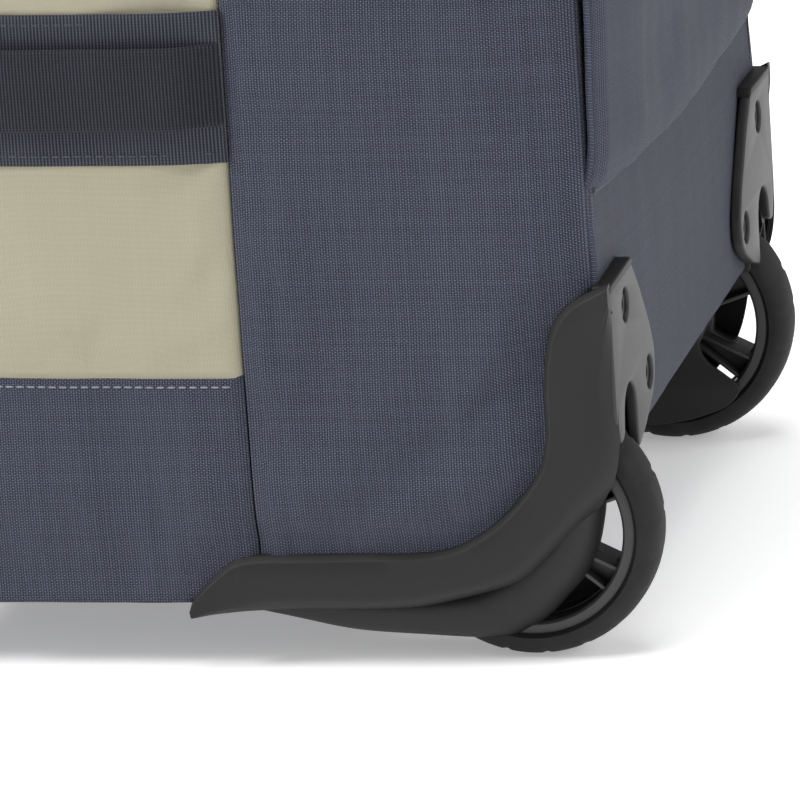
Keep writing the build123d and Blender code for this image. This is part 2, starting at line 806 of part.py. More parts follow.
zip_tape_case = zip_half(zip_y + zip_split / 2, case_front_y - panel_gap,
                         zip_y + zip_split / 2, zip_y + zip_split / 2 + zip_bead_w)
write(zip_tape_case, "zip_tape_case")
zip_tape_lid = zip_half(lid_back_y, zip_y - zip_split / 2,
                        zip_y - zip_split / 2 - zip_bead_w, zip_y - zip_split / 2)
write(zip_tape_lid, "zip_tape_lid")

# Fabric hinge at the left edge
hinge_x = -half_w
with BuildPart() as hinge_strip:
    block(hinge_x + 0.2, hinge_x + 1.6, lid_back_y, zip_y - hinge_clear, lid_low + 20, lid_high - 20)
write(hinge_strip, "hinge_strip")


# ---------------------------------------------------------------- sliders and pull tabs

slider_x = tape_x + zip_bead_t + slider_clear
slider_gap_z = 50.0
main_slider_z = (floor_gap + body_top) / 2
main_sliders = (("upper", main_slider_z + slider_gap_z / 2), ("lower", main_slider_z - slider_gap_z / 2))
bridge_hole_h = bridge_h - 1.0
bridge_hole_l = bridge_l - 2 * bridge_post
rod_x = slider_x + slider_t + bridge_hole_h / 2
for slider_name, slider_z in main_sliders:
    with BuildPart() as main_slider:
        # Plate over the zip, with a flange on the case side only
        block(slider_x, slider_x + slider_t, zip_y - slider_w / 2, zip_y + slider_w / 2,
              slider_z - slider_l / 2, slider_z + slider_l / 2)
        block(tape_x + slider_clear, slider_x + slider_t, zip_y + slider_w / 2 - slider_t,
              zip_y + slider_w / 2, slider_z - slider_l / 2, slider_z + slider_l / 2)
        # Bridge for the pull tab
        block(slider_x + slider_t, slider_x + slider_t + bridge_h,
              zip_y - bridge_t / 2, zip_y + bridge_t / 2,
              slider_z - bridge_l / 2, slider_z + bridge_l / 2)
        block(slider_x + slider_t, slider_x + slider_t + bridge_hole_h, zip_y - bridge_t, zip_y + bridge_t,
              slider_z - bridge_hole_l / 2, slider_z + bridge_hole_l / 2, mode=Mode.SUBTRACT)
    write(main_slider, f"main_slider_{slider_name}")
    with BuildPart() as main_tab:
        arm_y = bridge_t / 2 + tab_arm_gap
        with BuildSketch(Plane.XZ.offset(-(zip_y + arm_y + tab_arm_w))):
            with Locations((rod_x, slider_z)):
                Circle(tab_rod_r)
        extrude(amount=2 * (arm_y + tab_arm_w))
        for side in (-1, 1):
            block(rod_x - tab_t / 2, rod_x + tab_t / 2,
                  zip_y + side * arm_y, zip_y + side * (arm_y + tab_arm_w),
                  slider_z - bridge_l - 2, slider_z + tab_rod_r)
        block(rod_x - tab_t / 2, rod_x + tab_t / 2, zip_y - tab_w / 2, zip_y + tab_w / 2,
              slider_z - tab_l, slider_z - bridge_l)
    write(main_tab, f"main_pull_tab_{slider_name}")

# Pocket zips run along the pockets' top edges
zip_lip = 8.0
pocket_zip_rows = []
for pocket_name, pocket_z, pocket_h, front_y in pocket_rows:
    top_z = pocket_z + pocket_h
    zip_end = pocket_x - 10
    with BuildPart() as pocket_zip:
        block(-zip_end, zip_end, front_y + pocket_wall, pocket_back_y - pocket_wall,
              top_z + panel_gap, top_z + panel_gap + zip_tape_t)
        block(-zip_end, zip_end, front_y + zip_lip, front_y + zip_lip + 2 * zip_bead_w,
              top_z + panel_gap + zip_tape_t, top_z + panel_gap + zip_tape_t + zip_bead_t)
    pocket_zip_rows.append(pocket_zip.part)
    slider_low = top_z + panel_gap + zip_tape_t + zip_bead_t + slider_clear
    mid_y = front_y + zip_lip + zip_bead_w
    start_x = zip_end - slider_l
    with BuildPart() as pocket_slider:
        block(start_x - slider_l / 2, start_x + slider_l / 2, mid_y - slider_w / 2, mid_y + slider_w / 2,
              slider_low, slider_low + slider_t)
        block(start_x - bridge_l / 2, start_x + bridge_l / 2, mid_y - bridge_t / 2, mid_y + bridge_t / 2,
              slider_low + slider_t, slider_low + slider_t + bridge_h)
        block(start_x - bridge_hole_l / 2, start_x + bridge_hole_l / 2, mid_y - bridge_t, mid_y + bridge_t,
              slider_low + slider_t, slider_low + slider_t + bridge_hole_h, mode=Mode.SUBTRACT)
    write(pocket_slider, f"{pocket_name}_slider")
    with BuildPart() as pocket_tab:
        rod_z = slider_low + slider_t + bridge_hole_h / 2
        arm_y = bridge_t / 2 + tab_arm_gap
        with BuildSketch(Plane.XZ.offset(-(mid_y + arm_y + tab_arm_w))):
            with Locations((start_x, rod_z)):
                Circle(tab_rod_r)
        extrude(amount=2 * (arm_y + tab_arm_w))
        for side in (-1, 1):
            block(start_x - bridge_l - 2, start_x + tab_rod_r, mid_y + side * arm_y,
                  mid_y + side * (arm_y + tab_arm_w), rod_z - tab_t / 2, rod_z + tab_t / 2)
        block(start_x - tab_l, start_x - bridge_l, mid_y - tab_w / 2, mid_y + tab_w / 2,
              rod_z - tab_t / 2, rod_z + tab_t / 2)
    write(pocket_tab, f"{pocket_name}_pull_tab")

with BuildPart() as pocket_zips:
    add(pocket_zip_rows)
write(pocket_zips, "pocket_zips")


# ---------------------------------------------------------------- webbing and handles

band_front_y = case_front_y + 3
band_back_y = seam_y - 1
with BuildPart() as wide_bands:
    for band_z in band_centres:
        block(half_w + 0.1, half_w + 0.1 + band_t, band_front_y, band_back_y,
              band_z - wide_band_w / 2, band_z + wide_band_w / 2)
    mirror(about=Plane.YZ)
write(wide_bands, "wide_bands")

strap_in = half_w + 0.1 + band_t + 0.1
ramp = min(strap_ramp, (band_back_y - band_front_y) / 6)
with BuildPart() as grab_straps:
    for band_z in band_centres:
        with BuildSketch(Plane.XY.offset(band_z - narrow_band_w / 2)):
            with BuildLine():
                Polyline([
                    (strap_in, band_front_y),
                    (strap_in, band_front_y + ramp / 2),
                    (far_x - strap_t, band_front_y + 2 * ramp),
                    (far_x - strap_t, band_back_y - 2 * ramp),
                    (strap_in, band_back_y - ramp / 2),
                    (strap_in, band_back_y),
                    (strap_in + strap_t, band_back_y),
                    (strap_in + strap_t, band_back_y - ramp / 2 + 1),
                    (far_x, band_back_y - 2 * ramp + 1),
                    (far_x, band_front_y + 2 * ramp - 1),
                    (strap_in + strap_t, band_front_y + ramp / 2 - 1),
                    (strap_in + strap_t, band_front_y),
                ], close=True)
            make_face()
        extrude(amount=narrow_band_w)
    mirror(about=Plane.YZ)
write(grab_straps, "grab_straps")


def carry_strap(length, gap, pad, width, plane):
    """A low arched handle: flat ends, a padded middle and a finger gap under it."""
    half = length / 2
    foot = half + handle_end_l
    with BuildPart() as strap:
        with BuildSketch(plane):
            with BuildLine():
                Polyline([
                    (-foot, 0), (-half + 4, 0), (-half + handle_rise_l, gap),
                    (half - handle_rise_l, gap), (half - 4, 0), (foot, 0),
                    (foot, handle_end_t), (half - 2, handle_end_t), (half - handle_rise_l + 2, gap + pad),
                    (-half + handle_rise_l - 2, gap + pad), (-half + 2, handle_end_t), (-foot, handle_end_t),
                ], close=True)
            make_face()
        extrude(amount=width / 2, both=True)
    return strap


def strap_anchors(length, width, plane):
    """Two caps that cover the handle's ends and leave them room to rise."""
    half = length / 2
    room = handle_end_t + handle_lift + 0.8
    with BuildPart() as caps:
        for side in (-1, 1):
            near = half + 3
            far = near + anchor_l
            with BuildSketch(plane):
                with Locations((side * (near + far) / 2, (room + anchor_t) / 2)):
                    Rectangle(anchor_l, room + anchor_t)
            extrude(amount=width / 2 + anchor_t + 1, both=True)
            with BuildSketch(plane):
                with Locations((side * (near + handle_end_l / 2), room / 2)):
                    Rectangle(handle_end_l + 6, room)
            extrude(amount=width / 2 + 1, both=True, mode=Mode.SUBTRACT)
    return caps


handle_y = (case_front_y + tube_y - bezel_w / 2) / 2
top_handle_plane = Plane(origin=(0, handle_y, body_top + panel_gap), x_dir=(1, 0, 0), z_dir=(0, -1, 0))
carry_handle = carry_strap(carry_handle_l, handle_gap_h, handle_pad_t, carry_handle_w,
                           top_handle_plane)
write(carry_handle, "carry_handle")
carry_handle_anchors = strap_anchors(carry_handle_l, carry_handle_w, top_handle_plane)
write(carry_handle_anchors, "carry_handle_anchors")

# ---------------------------------------------------------------- inner straps

strap_y = lining_y - lining_t - panel_gap
pack_strap_z = (floor_gap + body_top) / 2
with BuildPart() as pack_straps:
    for side in (-1, 1):
        block(side * (buckle_w / 2 + 8), side * (inner_w - 2), strap_y - strap_t, strap_y,
              pack_strap_z - pack_strap_w / 2, pack_strap_z + pack_strap_w / 2)
write(pack_straps, "pack_straps")

with BuildPart() as buckle_socket:
    block(-buckle_w / 2 - 7.6, 4, strap_y - buckle_t, strap_y,
          pack_strap_z - buckle_w / 2, pack_strap_z + buckle_w / 2)
    block(-buckle_w / 4, 5, strap_y - buckle_t + 2, strap_y - 2,
          pack_strap_z - buckle_w / 2 + 4, pack_strap_z + buckle_w / 2 - 4, mode=Mode.SUBTRACT)
write(buckle_socket, "buckle_socket")

with BuildPart() as buckle_tongue:
    block(4.4, buckle_w / 2 + 7.6, strap_y - buckle_t, strap_y,
          pack_strap_z - buckle_w / 2, pack_strap_z + buckle_w / 2)
    block(-buckle_w / 4 + 0.6, 4.4, strap_y - buckle_t + 2.5, strap_y - 2.5,
          pack_strap_z - buckle_w / 2 + 4.5, pack_strap_z + buckle_w / 2 - 4.5)
write(buckle_tongue, "buckle_tongue")
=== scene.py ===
import json
import math

import bpy
import numpy as np
from mathutils import Matrix, Vector, noise
from mathutils.bvhtree import BVHTree


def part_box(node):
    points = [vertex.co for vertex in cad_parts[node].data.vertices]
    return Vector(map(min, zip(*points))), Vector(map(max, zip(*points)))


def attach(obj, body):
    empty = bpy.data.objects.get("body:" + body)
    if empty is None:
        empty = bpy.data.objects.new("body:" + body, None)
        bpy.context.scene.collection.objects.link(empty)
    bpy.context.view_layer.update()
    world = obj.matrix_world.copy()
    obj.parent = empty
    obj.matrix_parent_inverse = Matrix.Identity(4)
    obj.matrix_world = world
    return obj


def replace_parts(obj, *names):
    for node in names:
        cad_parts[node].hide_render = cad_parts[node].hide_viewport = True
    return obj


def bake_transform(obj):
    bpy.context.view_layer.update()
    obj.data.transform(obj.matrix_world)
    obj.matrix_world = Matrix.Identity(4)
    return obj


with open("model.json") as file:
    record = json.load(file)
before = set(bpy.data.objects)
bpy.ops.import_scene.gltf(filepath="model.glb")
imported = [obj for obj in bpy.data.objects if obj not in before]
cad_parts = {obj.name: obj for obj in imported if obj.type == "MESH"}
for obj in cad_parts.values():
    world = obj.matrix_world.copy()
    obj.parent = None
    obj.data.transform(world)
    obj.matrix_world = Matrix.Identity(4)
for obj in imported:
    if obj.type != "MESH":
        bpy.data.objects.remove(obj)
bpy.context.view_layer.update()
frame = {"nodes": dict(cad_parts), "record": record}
MM = 0.001

# ------------------------------------------------------------------ places from the frame

tyre_low, tyre_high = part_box("tyre_right")
WHEEL = (tyre_low + tyre_high) / 2
WHEEL_R = (tyre_high.z - tyre_low.z) / 2
TYRE_W = tyre_high.x - tyre_low.x
rear_low, rear_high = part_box("side_rear_panel_right")
HALF_W = rear_high.x
SEAM_Y = rear_low.y
BACK_Y = rear_high.y
FLOOR_GAP = rear_low.z
TOP_Z = rear_high.z
main_low, main_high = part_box("side_main_panel_right")
CASE_FRONT_Y = main_low.y
LOWER_SEAM_Z = main_low.z
UPPER_SEAM_Z = main_high.z
HEEL_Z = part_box("heel_panel")[1].z
LID_BACK_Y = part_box("lid_gusset")[1].y
SIDE_TOP_Z = TOP_Z - 0.004
SEAM_GAP = 0.0004
CLOTH_T = 0.0026
SIDE_CLOTH_T = 0.0028


# ------------------------------------------------------------------ camera

def aim_camera():
    """A long lens on the lower rear corner of the right-hand side, turned a little about its own axis."""
    azimuth, elevation, roll = math.radians(103.43), math.radians(15.69), math.radians(3.85)
    distance, lens = 2.7, 362.3
    target = Vector((HALF_W, WHEEL.y - 0.0376, 0.0954))
    back = Vector((math.sin(azimuth) * math.cos(elevation), -math.cos(azimuth) * math.cos(elevation),
                   math.sin(elevation)))
    right = Vector((math.cos(azimuth), math.sin(azimuth), 0))
    up = back.cross(right)
    turned_right = right * math.cos(roll) - up * math.sin(roll)
    turned_up = right * math.sin(roll) + up * math.cos(roll)
    data = bpy.data.cameras.new("camera")
    data.lens = lens
    data.sensor_width = 36
    data.clip_start = 0.05
    data.clip_end = 60
    camera = bpy.data.objects.new("camera", data)
    bpy.context.scene.collection.objects.link(camera)
    turn = Matrix((turned_right, turned_up, back)).transposed()
    camera.matrix_world = Matrix.Translation(target + back * distance) @ turn.to_4x4()
    bpy.context.scene.camera = camera


aim_camera()


# ------------------------------------------------------------------ shader maths

class Wire:
    """A socket that takes part in sums: each operator adds its Math node."""

    def __init__(self, sheet, socket):
        self.sheet = sheet
        self.socket = socket

    def __add__(self, other):
        return self.sheet.maths("ADD", self, other)

    def __sub__(self, other):
        return self.sheet.maths("SUBTRACT", self, other)

    def __mul__(self, other):
        return self.sheet.maths("MULTIPLY", self, other)

    def __rsub__(self, other):
        return self.sheet.maths("SUBTRACT", other, self)

    __radd__ = __add__
    __rmul__ = __mul__


class Finish:
    """A material and its node tree, with one principled shader."""

    def __init__(self, name, roughness=0.6, metallic=0.0, sheen=0.0, sheen_roughness=0.5, specular=0.5):
        self.material = bpy.data.materials.new(name)
        self.material.use_nodes = True
        self.tree = self.material.node_tree
        self.shader = self.tree.nodes["Principled BSDF"]
        for socket, value in (("Roughness", roughness), ("Metallic", metallic), ("Sheen Weight", sheen),
                              ("Sheen Roughness", sheen_roughness), ("Specular IOR Level", specular)):
            self.shader.inputs[socket].default_value = value

    def add(self, kind, settings=(), **sockets):
        """Any node: its settings first, then the values or links of its sockets."""
        node = self.tree.nodes.new(kind)
        for key, value in dict(settings).items():
            setattr(node, key, value)
        for key, value in sockets.items():
            self.feed(node.inputs[int(key[1:])] if key[0] == "n" and key[1:].isdigit()
                      else node.inputs[key.replace("_", " ")], value)
        return node

    def feed(self, socket, value):
        if isinstance(value, Wire):
            self.tree.links.new(value.socket, socket)
        else:
            socket.default_value = value

    def wire(self, node, output=0):
        return Wire(self, node.outputs[output])

    def maths(self, operation, a, b=0.0, clamp=False):
        return self.wire(self.add("ShaderNodeMath", {"operation": operation, "use_clamp": clamp}, n0=a, n1=b))

    def position(self):
        """Object coordinates, in metres."""
        return self.wire(self.add("ShaderNodeTexCoord"), "Object")

    def flat(self):
        """The piece's own flat coordinates, in metres, as two wires."""
        chart = self.wire(self.add("ShaderNodeUVMap", {"uv_map": "flat"}))
        split = self.add("ShaderNodeSeparateXYZ", n0=chart)
        return self.wire(split, "X"), self.wire(split, "Y")

    def mottle(self, size, detail=3.0, roughness=0.55, where=None):
        """Soft noise from 0 to 1, whose blotches are about size metres."""
        node = self.add("ShaderNodeTexNoise", {"noise_dimensions": "3D"}, Scale=1 / size, Detail=detail,
                        Roughness=roughness, Vector=where if where is not None else self.position())
        return self.wire(node, 0)

    def blend(self, factor, a, b):
        """A colour between a and b."""
        node = self.add("ShaderNodeMix", {"data_type": "RGBA"}, n0=factor)
        for index, colour in ((6, a), (7, b)):
            self.feed(node.inputs[index], colour if isinstance(colour, Wire) else (*colour, 1))
        return self.wire(node, 2)

    def ramp(self, factor, stops):
        """A colour ramp through (place, colour) stops."""
        node = self.add("ShaderNodeValToRGB")
        elements = node.color_ramp.elements
        while len(elements) < len(stops):
            elements.new(0.5)
        for element, (place, colour) in zip(elements, stops):
            element.position = place
            element.color = (*colour, 1)
        self.feed(node.inputs[0], factor)
        return self.wire(node)

    def bump(self, height, depth, strength=1.0):
        node = self.add("ShaderNodeBump", Strength=strength, Distance=depth, Height=height)
        self.feed(self.shader.inputs["Normal"], self.wire(node))

    def colour(self, value):
        self.feed(self.shader.inputs["Base Color"], value if isinstance(value, Wire) else (*value, 1))

    def rough(self, value):
        self.feed(self.shader.inputs["Roughness"], value)


def grey(value):
    """A neutral colour."""
    return (value, value, value)


def woven(name, gap, yarn, light, warp_pitch, weft_pitch, depth, sheen=0.06, streak=0.16, fade=0.05):
    """Plain-woven cloth: warp and weft yarns that pass over and under each other."""
    f = Finish(name, roughness=0.85, sheen=sheen, sheen_roughness=0.45, specular=0.25)
    across, up = f.flat()
    u = across * (1 / warp_pitch)
    v = up * (1 / weft_pitch)
    row, column = f.maths("FLOOR", v), f.maths("FLOOR", u)
    in_row, in_column = f.maths("FRACT", v) - 0.5, f.maths("FRACT", u) - 0.5
    weft_over = f.maths("SINE", (u + row) * math.pi) * 0.5 + 0.5
    warp_over = 0.5 - f.maths("SINE", (v + column) * math.pi) * 0.5
    weft = (1 - in_row * in_row * 4) * 0.45 + weft_over * 0.55
    warp = (1 - in_column * in_column * 4) * 0.40 + warp_over * 0.52
    height = f.maths("MAXIMUM", weft, warp)
    on_weft = f.maths("GREATER_THAN", weft, warp)
    # Each yarn differs a little from the next
    row_tone = f.wire(f.add("ShaderNodeTexWhiteNoise", {"noise_dimensions": "1D"}, W=row), 0)
    column_tone = f.wire(f.add("ShaderNodeTexWhiteNoise", {"noise_dimensions": "1D"}, W=column), 0)
    tone = (on_weft * row_tone + (1 - on_weft) * column_tone) * streak
    lit = (height - 0.60) * 2.9 + on_weft * 0.10 + tone - streak / 2
    shade = f.maths("MINIMUM", f.maths("MAXIMUM", lit, 0.0), 1.0)
    cloth = f.ramp(shade, ((0.0, gap), (0.55, yarn), (1.0, light)))
    pale_share = f.mottle(0.045, detail=4)
    f.colour(f.blend(pale_share * fade, cloth, light))
    f.rough(0.92 - height * 0.22)
    f.bump(height, depth)
    return f.material


def ribbed_webbing(name, dark, light, rib, depth):
    """Webbing with ribs across its length. Flat X runs along the strap and flat Y across it."""
    f = Finish(name, roughness=0.8, sheen=0.08, sheen_roughness=0.4, specular=0.3)
    along, across = f.flat()
    phase = along * (2 * math.pi / rib)
    cross = across * (2 * math.pi / (rib * 0.85))
    ribs = f.maths("SINE", phase + f.maths("SINE", cross) * 0.35) * 0.5 + 0.5
    cords = f.maths("SINE", cross) * 0.5 + 0.5
    height = ribs * 0.82 + cords * 0.18
    shade = height * height * 0.85 + f.mottle(0.03) * 0.2
    f.colour(f.ramp(shade, ((0.1, dark), (0.95, light))))
    f.rough(0.88 - height * 0.25)
    f.bump(height, depth)
    return f.material


def moulded(name, base, grain=0.00045, depth=0.00006, roughness=0.52, scuff=0.35, specular=0.45):
    """Fine-grained moulded plastic with a few pale scuffs, and a painted highlight along the guard's chamfer.
    """
    f = Finish(name, roughness=roughness, specular=specular)
    spark = f.mottle(grain, detail=2, roughness=0.7)
    cloud = f.mottle(0.03, detail=3)
    thin = f.mottle(0.004, detail=5, roughness=0.7)
    pale_share = f.maths("MAXIMUM", cloud * thin * 4 - 1.25, 0.0, clamp=True) * scuff
    lighter = tuple(min(1.0, c * 2.4 + 0.012) for c in base)
    # The guard's chamfer carries a painted highlight through this attribute: it is painted paler, as if lit
    # from above
    rim = f.wire(f.add("ShaderNodeAttribute", {"attribute_name": "painted_chamfer_highlight"}), "Fac")
    # The paler mix holds real scuffs and the chamfer's painted highlight
    pale_share = f.maths("MAXIMUM", pale_share, rim * (0.35 + cloud * 0.5))
    body = f.blend(spark * 0.35, base, tuple(c * 1.45 for c in base))
    f.colour(f.blend(pale_share, body, lighter))
    f.rough(roughness - 0.07 + spark * 0.10 + cloud * 0.08)
    f.bump(spark, depth)
    return f.material


def tyre_rubber(name, base):
    """Moulded rubber, dusty where it rolls."""
    f = Finish(name, roughness=0.72, specular=0.35)
    grit = f.mottle(0.0009, detail=4, roughness=0.7)
    dust = f.mottle(0.012, detail=4)
    clean = f.blend(grit, base, tuple(c * 1.7 for c in base))
    dusty = tuple(c * 3.2 + 0.01 for c in base)
    f.colour(f.blend(f.maths("MAXIMUM", dust - 0.45, 0.0) * 0.9, clean, dusty))
    f.rough(0.62 + grit * 0.22)
    f.bump(grit, 0.00012)
    return f.material


def metal(name, base, roughness, brushed=0.0, depth=0.00001):
    """Metal with fine grinding marks along Z, or none."""
    f = Finish(name, roughness=roughness, metallic=1.0)
    stretched = f.wire(f.add("ShaderNodeMapping", n0=f.position(), n3=(1, 1, 1 - 0.98 * brushed)))
    marks = f.mottle(0.0006, detail=4, where=stretched)
    f.colour(f.blend(marks, tuple(c * 0.82 for c in base), base))
    f.rough(roughness - 0.06 + marks * 0.16)
    f.bump(marks, depth)
    return f.material


NAVY_GAP, NAVY, NAVY_LIGHT = (0.0045, 0.0052, 0.011), (0.033, 0.037, 0.060), (0.110, 0.120, 0.170)
KHAKI_GAP, KHAKI, KHAKI_LIGHT = (0.25, 0.228, 0.160), (0.325, 0.302, 0.220), (0.40, 0.376, 0.280)
RIB = 0.00117
MATERIALS = {
    "navy_fabric": woven("navy_weave", NAVY_GAP, NAVY, NAVY_LIGHT, 0.00093, 0.000595, 0.0006),
    "khaki_fabric": woven("khaki_weave", KHAKI_GAP, KHAKI, KHAKI_LIGHT, 0.00050, 0.00042, 0.00010, sheen=0.06,
                          streak=0.14, fade=0.2),
    "webbing_wide": ribbed_webbing("wide_webbing", (0.008, 0.009, 0.015), (0.066, 0.072, 0.094), RIB,
                                   0.00022),
    "webbing_dark": ribbed_webbing("narrow_webbing", (0.0022, 0.0026, 0.005), (0.026, 0.029, 0.043), RIB,
                                   0.0003),
    "zip_tape": ribbed_webbing("zip_tape", (0.008, 0.009, 0.014), (0.045, 0.048, 0.062), 0.0009, 0.00015),
    "lining_fabric": woven("lining_weave", (0.10, 0.10, 0.11), (0.24, 0.245, 0.26), (0.34, 0.345, 0.36),
                           0.0004, 0.0004, 0.00008),
    "black_plastic": moulded("black_plastic", (0.0085, 0.0085, 0.0085), specular=0.3),
    "grip_plastic": moulded("grip_plastic", (0.016, 0.016, 0.017), roughness=0.6),
    "button_plastic": moulded("button_plastic", (0.07, 0.07, 0.075), roughness=0.35),
    "board_plastic": moulded("board_plastic", (0.05, 0.05, 0.05), roughness=0.6),
    "rim_plastic": moulded("rim_plastic", (0.026, 0.026, 0.027), roughness=0.42),
    "tyre_rubber": tyre_rubber("tyre_rubber", (0.006, 0.006, 0.006)),
    "steel": metal("steel", grey(0.55), 0.3),
    "black_screws": metal("black_screws", grey(0.06), 0.45),
    "tube_aluminium": metal("tube_aluminium", (0.58, 0.58, 0.6), 0.32, brushed=1.0),
    "frame_steel": moulded("frame_coating", (0.05, 0.05, 0.05), roughness=0.4),
    "slider_metal": metal("slider_metal", grey(0.10), 0.36),
}
# The back plate is the black plastic painted lighter: painted light, standing for the plate lit from behind
# on the right
PAINTED_LIT_PLATE_PLASTIC = moulded("painted_lit_plate_plastic", (0.0145, 0.0148, 0.0152), roughness=0.46)
THREAD = woven("thread", (0.10, 0.105, 0.13), (0.24, 0.25, 0.29), (0.33, 0.34, 0.38), 0.0004, 0.0003, 0.0001)
DARK_THREAD = woven("dark_thread", (0.02, 0.022, 0.03), (0.06, 0.065, 0.085), (0.1, 0.105, 0.13),
                    0.0004, 0.0003, 0.0001)

SLOT_OF = {row["node"]: row["material_slot"] for row in frame["record"]["subparts"]}


def box_flat(obj):
    """Flat coordinates taken from each face's main direction."""
    layer = obj.data.uv_layers.get("flat") or obj.data.uv_layers.new(name="flat")
    layer.active = True
    for polygon in obj.data.polygons:
        axis = max(range(3), key=lambda i: abs(polygon.normal[i]))
        first, second = ((1, 2), (0, 2), (0, 1))[axis]
        for loop in polygon.loop_indices:
            point = obj.data.vertices[obj.data.loops[loop].vertex_index].co
            layer.data[loop].uv = (point[first], point[second])


def clothe_cad_nodes():
    """Give every CAD node its finish, and the flat coordinates that cloth finishes read."""
    for node, obj in frame["nodes"].items():
        obj.data.materials.clear()
        obj.data.materials.append(MATERIALS[SLOT_OF[node]])
        box_flat(obj)


clothe_cad_nodes()


# ------------------------------------------------------------------ modelling helpers

def smooth(t):
    """A soft step from 0 to 1."""
    t = np.clip(t, 0, 1)
    return t * t * (3 - 2 * t)


def deselect():
    if bpy.context.object and bpy.context.object.mode != "OBJECT":
        bpy.ops.object.mode_set(mode="OBJECT")
    bpy.ops.object.select_all(action="DESELECT")


def activate(obj):
    """Make a piece the only one selected, and the active one."""
    deselect()
    bpy.context.view_layer.objects.active = obj
    obj.select_set(True)


def points_of(obj):
    """The mesh's points as rows."""
    flat = np.empty(len(obj.data.vertices) * 3)
    obj.data.vertices.foreach_get("co", flat)
    return flat.reshape(-1, 3)


def move_points(obj, points):
    obj.data.vertices.foreach_set("co", np.asarray(points, float).ravel())
    obj.data.update()


def finish_modifiers(obj):
    """Apply every modifier, in order."""
    activate(obj)
    for modifier in list(obj.modifiers):
        bpy.ops.object.modifier_apply(modifier=modifier.name)


def dress(obj, material, body="case", slot=None, angle=40):
    """Finish, shading and body of a piece; slot is not used."""
    if isinstance(material, str):
        slot = slot or material
        material = MATERIALS[material]
    obj.data.materials.clear()
    obj.data.materials.append(material)
    activate(obj)
    if angle >= 180:
        bpy.ops.object.shade_smooth()
    else:
        bpy.ops.object.shade_smooth_by_angle(angle=math.radians(angle))
    if body:
        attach(obj, body)
    return obj


def grid(name, columns, rows):
    """A unit grid in XY with its flat coordinates, to be shaped."""
    deselect()
    bpy.ops.mesh.primitive_grid_add(x_subdivisions=columns, y_subdivisions=rows, size=1,
                                    location=(0.5, 0.5, 0))
    obj = bpy.context.object
    bpy.ops.object.transform_apply(location=True)
    obj.name = name
    obj.data.name = name
    return obj


def cloth_face(name, place, size, cell=0.004):
    """A sheet of cloth shaped by place(u, v) -> points, with u and v from 0 to 1 over size metres."""
    columns, rows = (max(2, round(side / cell)) for side in size)
    obj = grid(name, columns, rows)
    unit = points_of(obj)
    layer = obj.data.uv_layers.active or obj.data.uv_layers.new()
    layer.name = "flat"
    loops = np.empty(len(obj.data.loops), int)
    obj.data.loops.foreach_get("vertex_index", loops)
    layer.data.foreach_set("uv", (unit[loops][:, :2] * np.array(size)).ravel())
    move_points(obj, place(unit[:, 0], unit[:, 1]))
    return obj


def billow(obj, pinned, pressure=3.0, slack=0.02, cap=0.006, frames=16):
    """Let cloth billow between its pinned points, then keep each point within cap of where it was."""
    start = points_of(obj)
    group = obj.vertex_groups.new(name="pinned")
    group.add([int(i) for i in np.nonzero(pinned)[0]], 1.0, "REPLACE")
    activate(obj)
    cloth = obj.modifiers.new("cloth", "CLOTH")
    settings = cloth.settings
    settings.quality = 5
    settings.mass = 0.25
    settings.tension_stiffness = 25
    settings.compression_stiffness = 12
    settings.shear_stiffness = 8
    settings.bending_stiffness = 1.2
    settings.vertex_group_mass = "pinned"
    settings.shrink_min = -slack
    settings.use_pressure = True
    settings.uniform_pressure_force = pressure
    settings.effector_weights.gravity = 0
    cloth.collision_settings.use_collision = False
    cloth.point_cache.frame_start = 1
    cloth.point_cache.frame_end = frames
    for frame_number in range(1, frames + 1):
        bpy.context.scene.frame_set(frame_number)
    bpy.ops.object.modifier_apply(modifier=cloth.name)
    bpy.context.scene.frame_set(1)
    obj.vertex_groups.clear()
    shift = points_of(obj) - start
    length = np.linalg.norm(shift, axis=1, keepdims=True)
    move_points(obj, start + shift * np.minimum(1, cap / np.maximum(length, 1e-9)))


def thicken(obj, thickness):
    """Give a sheet its thickness, behind its outer face."""
    solid = obj.modifiers.new("thickness", "SOLIDIFY")
    solid.thickness = thickness
    solid.offset = -1.0
    finish_modifiers(obj)


def pick_faces(obj, marks):
    """Open edit mode with only the marked faces selected."""
    activate(obj)
    bpy.ops.object.mode_set(mode="EDIT")
    bpy.ops.mesh.select_mode(type="FACE")
    bpy.ops.mesh.select_all(action="DESELECT")
    bpy.ops.object.mode_set(mode="OBJECT")
    for polygon, mark in zip(obj.data.polygons, marks):
        polygon.select = bool(mark)
    bpy.ops.object.mode_set(mode="EDIT")


def drop_faces(obj, doomed):
    """Delete the faces whose centres doomed(centres) marks."""
    pick_faces(obj, doomed(np.array([polygon.center for polygon in obj.data.polygons])))
    bpy.ops.mesh.delete(type="FACE")
    bpy.ops.object.mode_set(mode="OBJECT")


def outward(obj, merge=False):
    """Turn every face outward, with doubled points merged first where asked."""
    activate(obj)
    bpy.ops.object.mode_set(mode="EDIT")
    bpy.ops.mesh.select_all(action="SELECT")
    if merge:
        bpy.ops.mesh.remove_doubles(threshold=0.00002)
    bpy.ops.mesh.normals_make_consistent(inside=False)
    bpy.ops.object.mode_set(mode="OBJECT")


def skin(name, rings, closed):
    """Faces between neighbouring rings of points. A row that isn't closed has a cap at each end."""
    count, size = len(rings), len(rings[0])
    faces = []
    for i in range(count if closed else count - 1):
        after = (i + 1) % count
        for j in range(size):
            k = (j + 1) % size
            faces.append((i * size + j, i * size + k, after * size + k, after * size + j))
    if not closed:
        faces.append(tuple(range(size - 1, -1, -1)))
        faces.append(tuple((count - 1) * size + j for j in range(size)))
    mesh = bpy.data.meshes.new(name)
    mesh.from_pydata([spot for ring in rings for spot in ring], [], faces)
    obj = bpy.data.objects.new(name, mesh)
    bpy.context.scene.collection.objects.link(obj)
    outward(obj)
    return obj


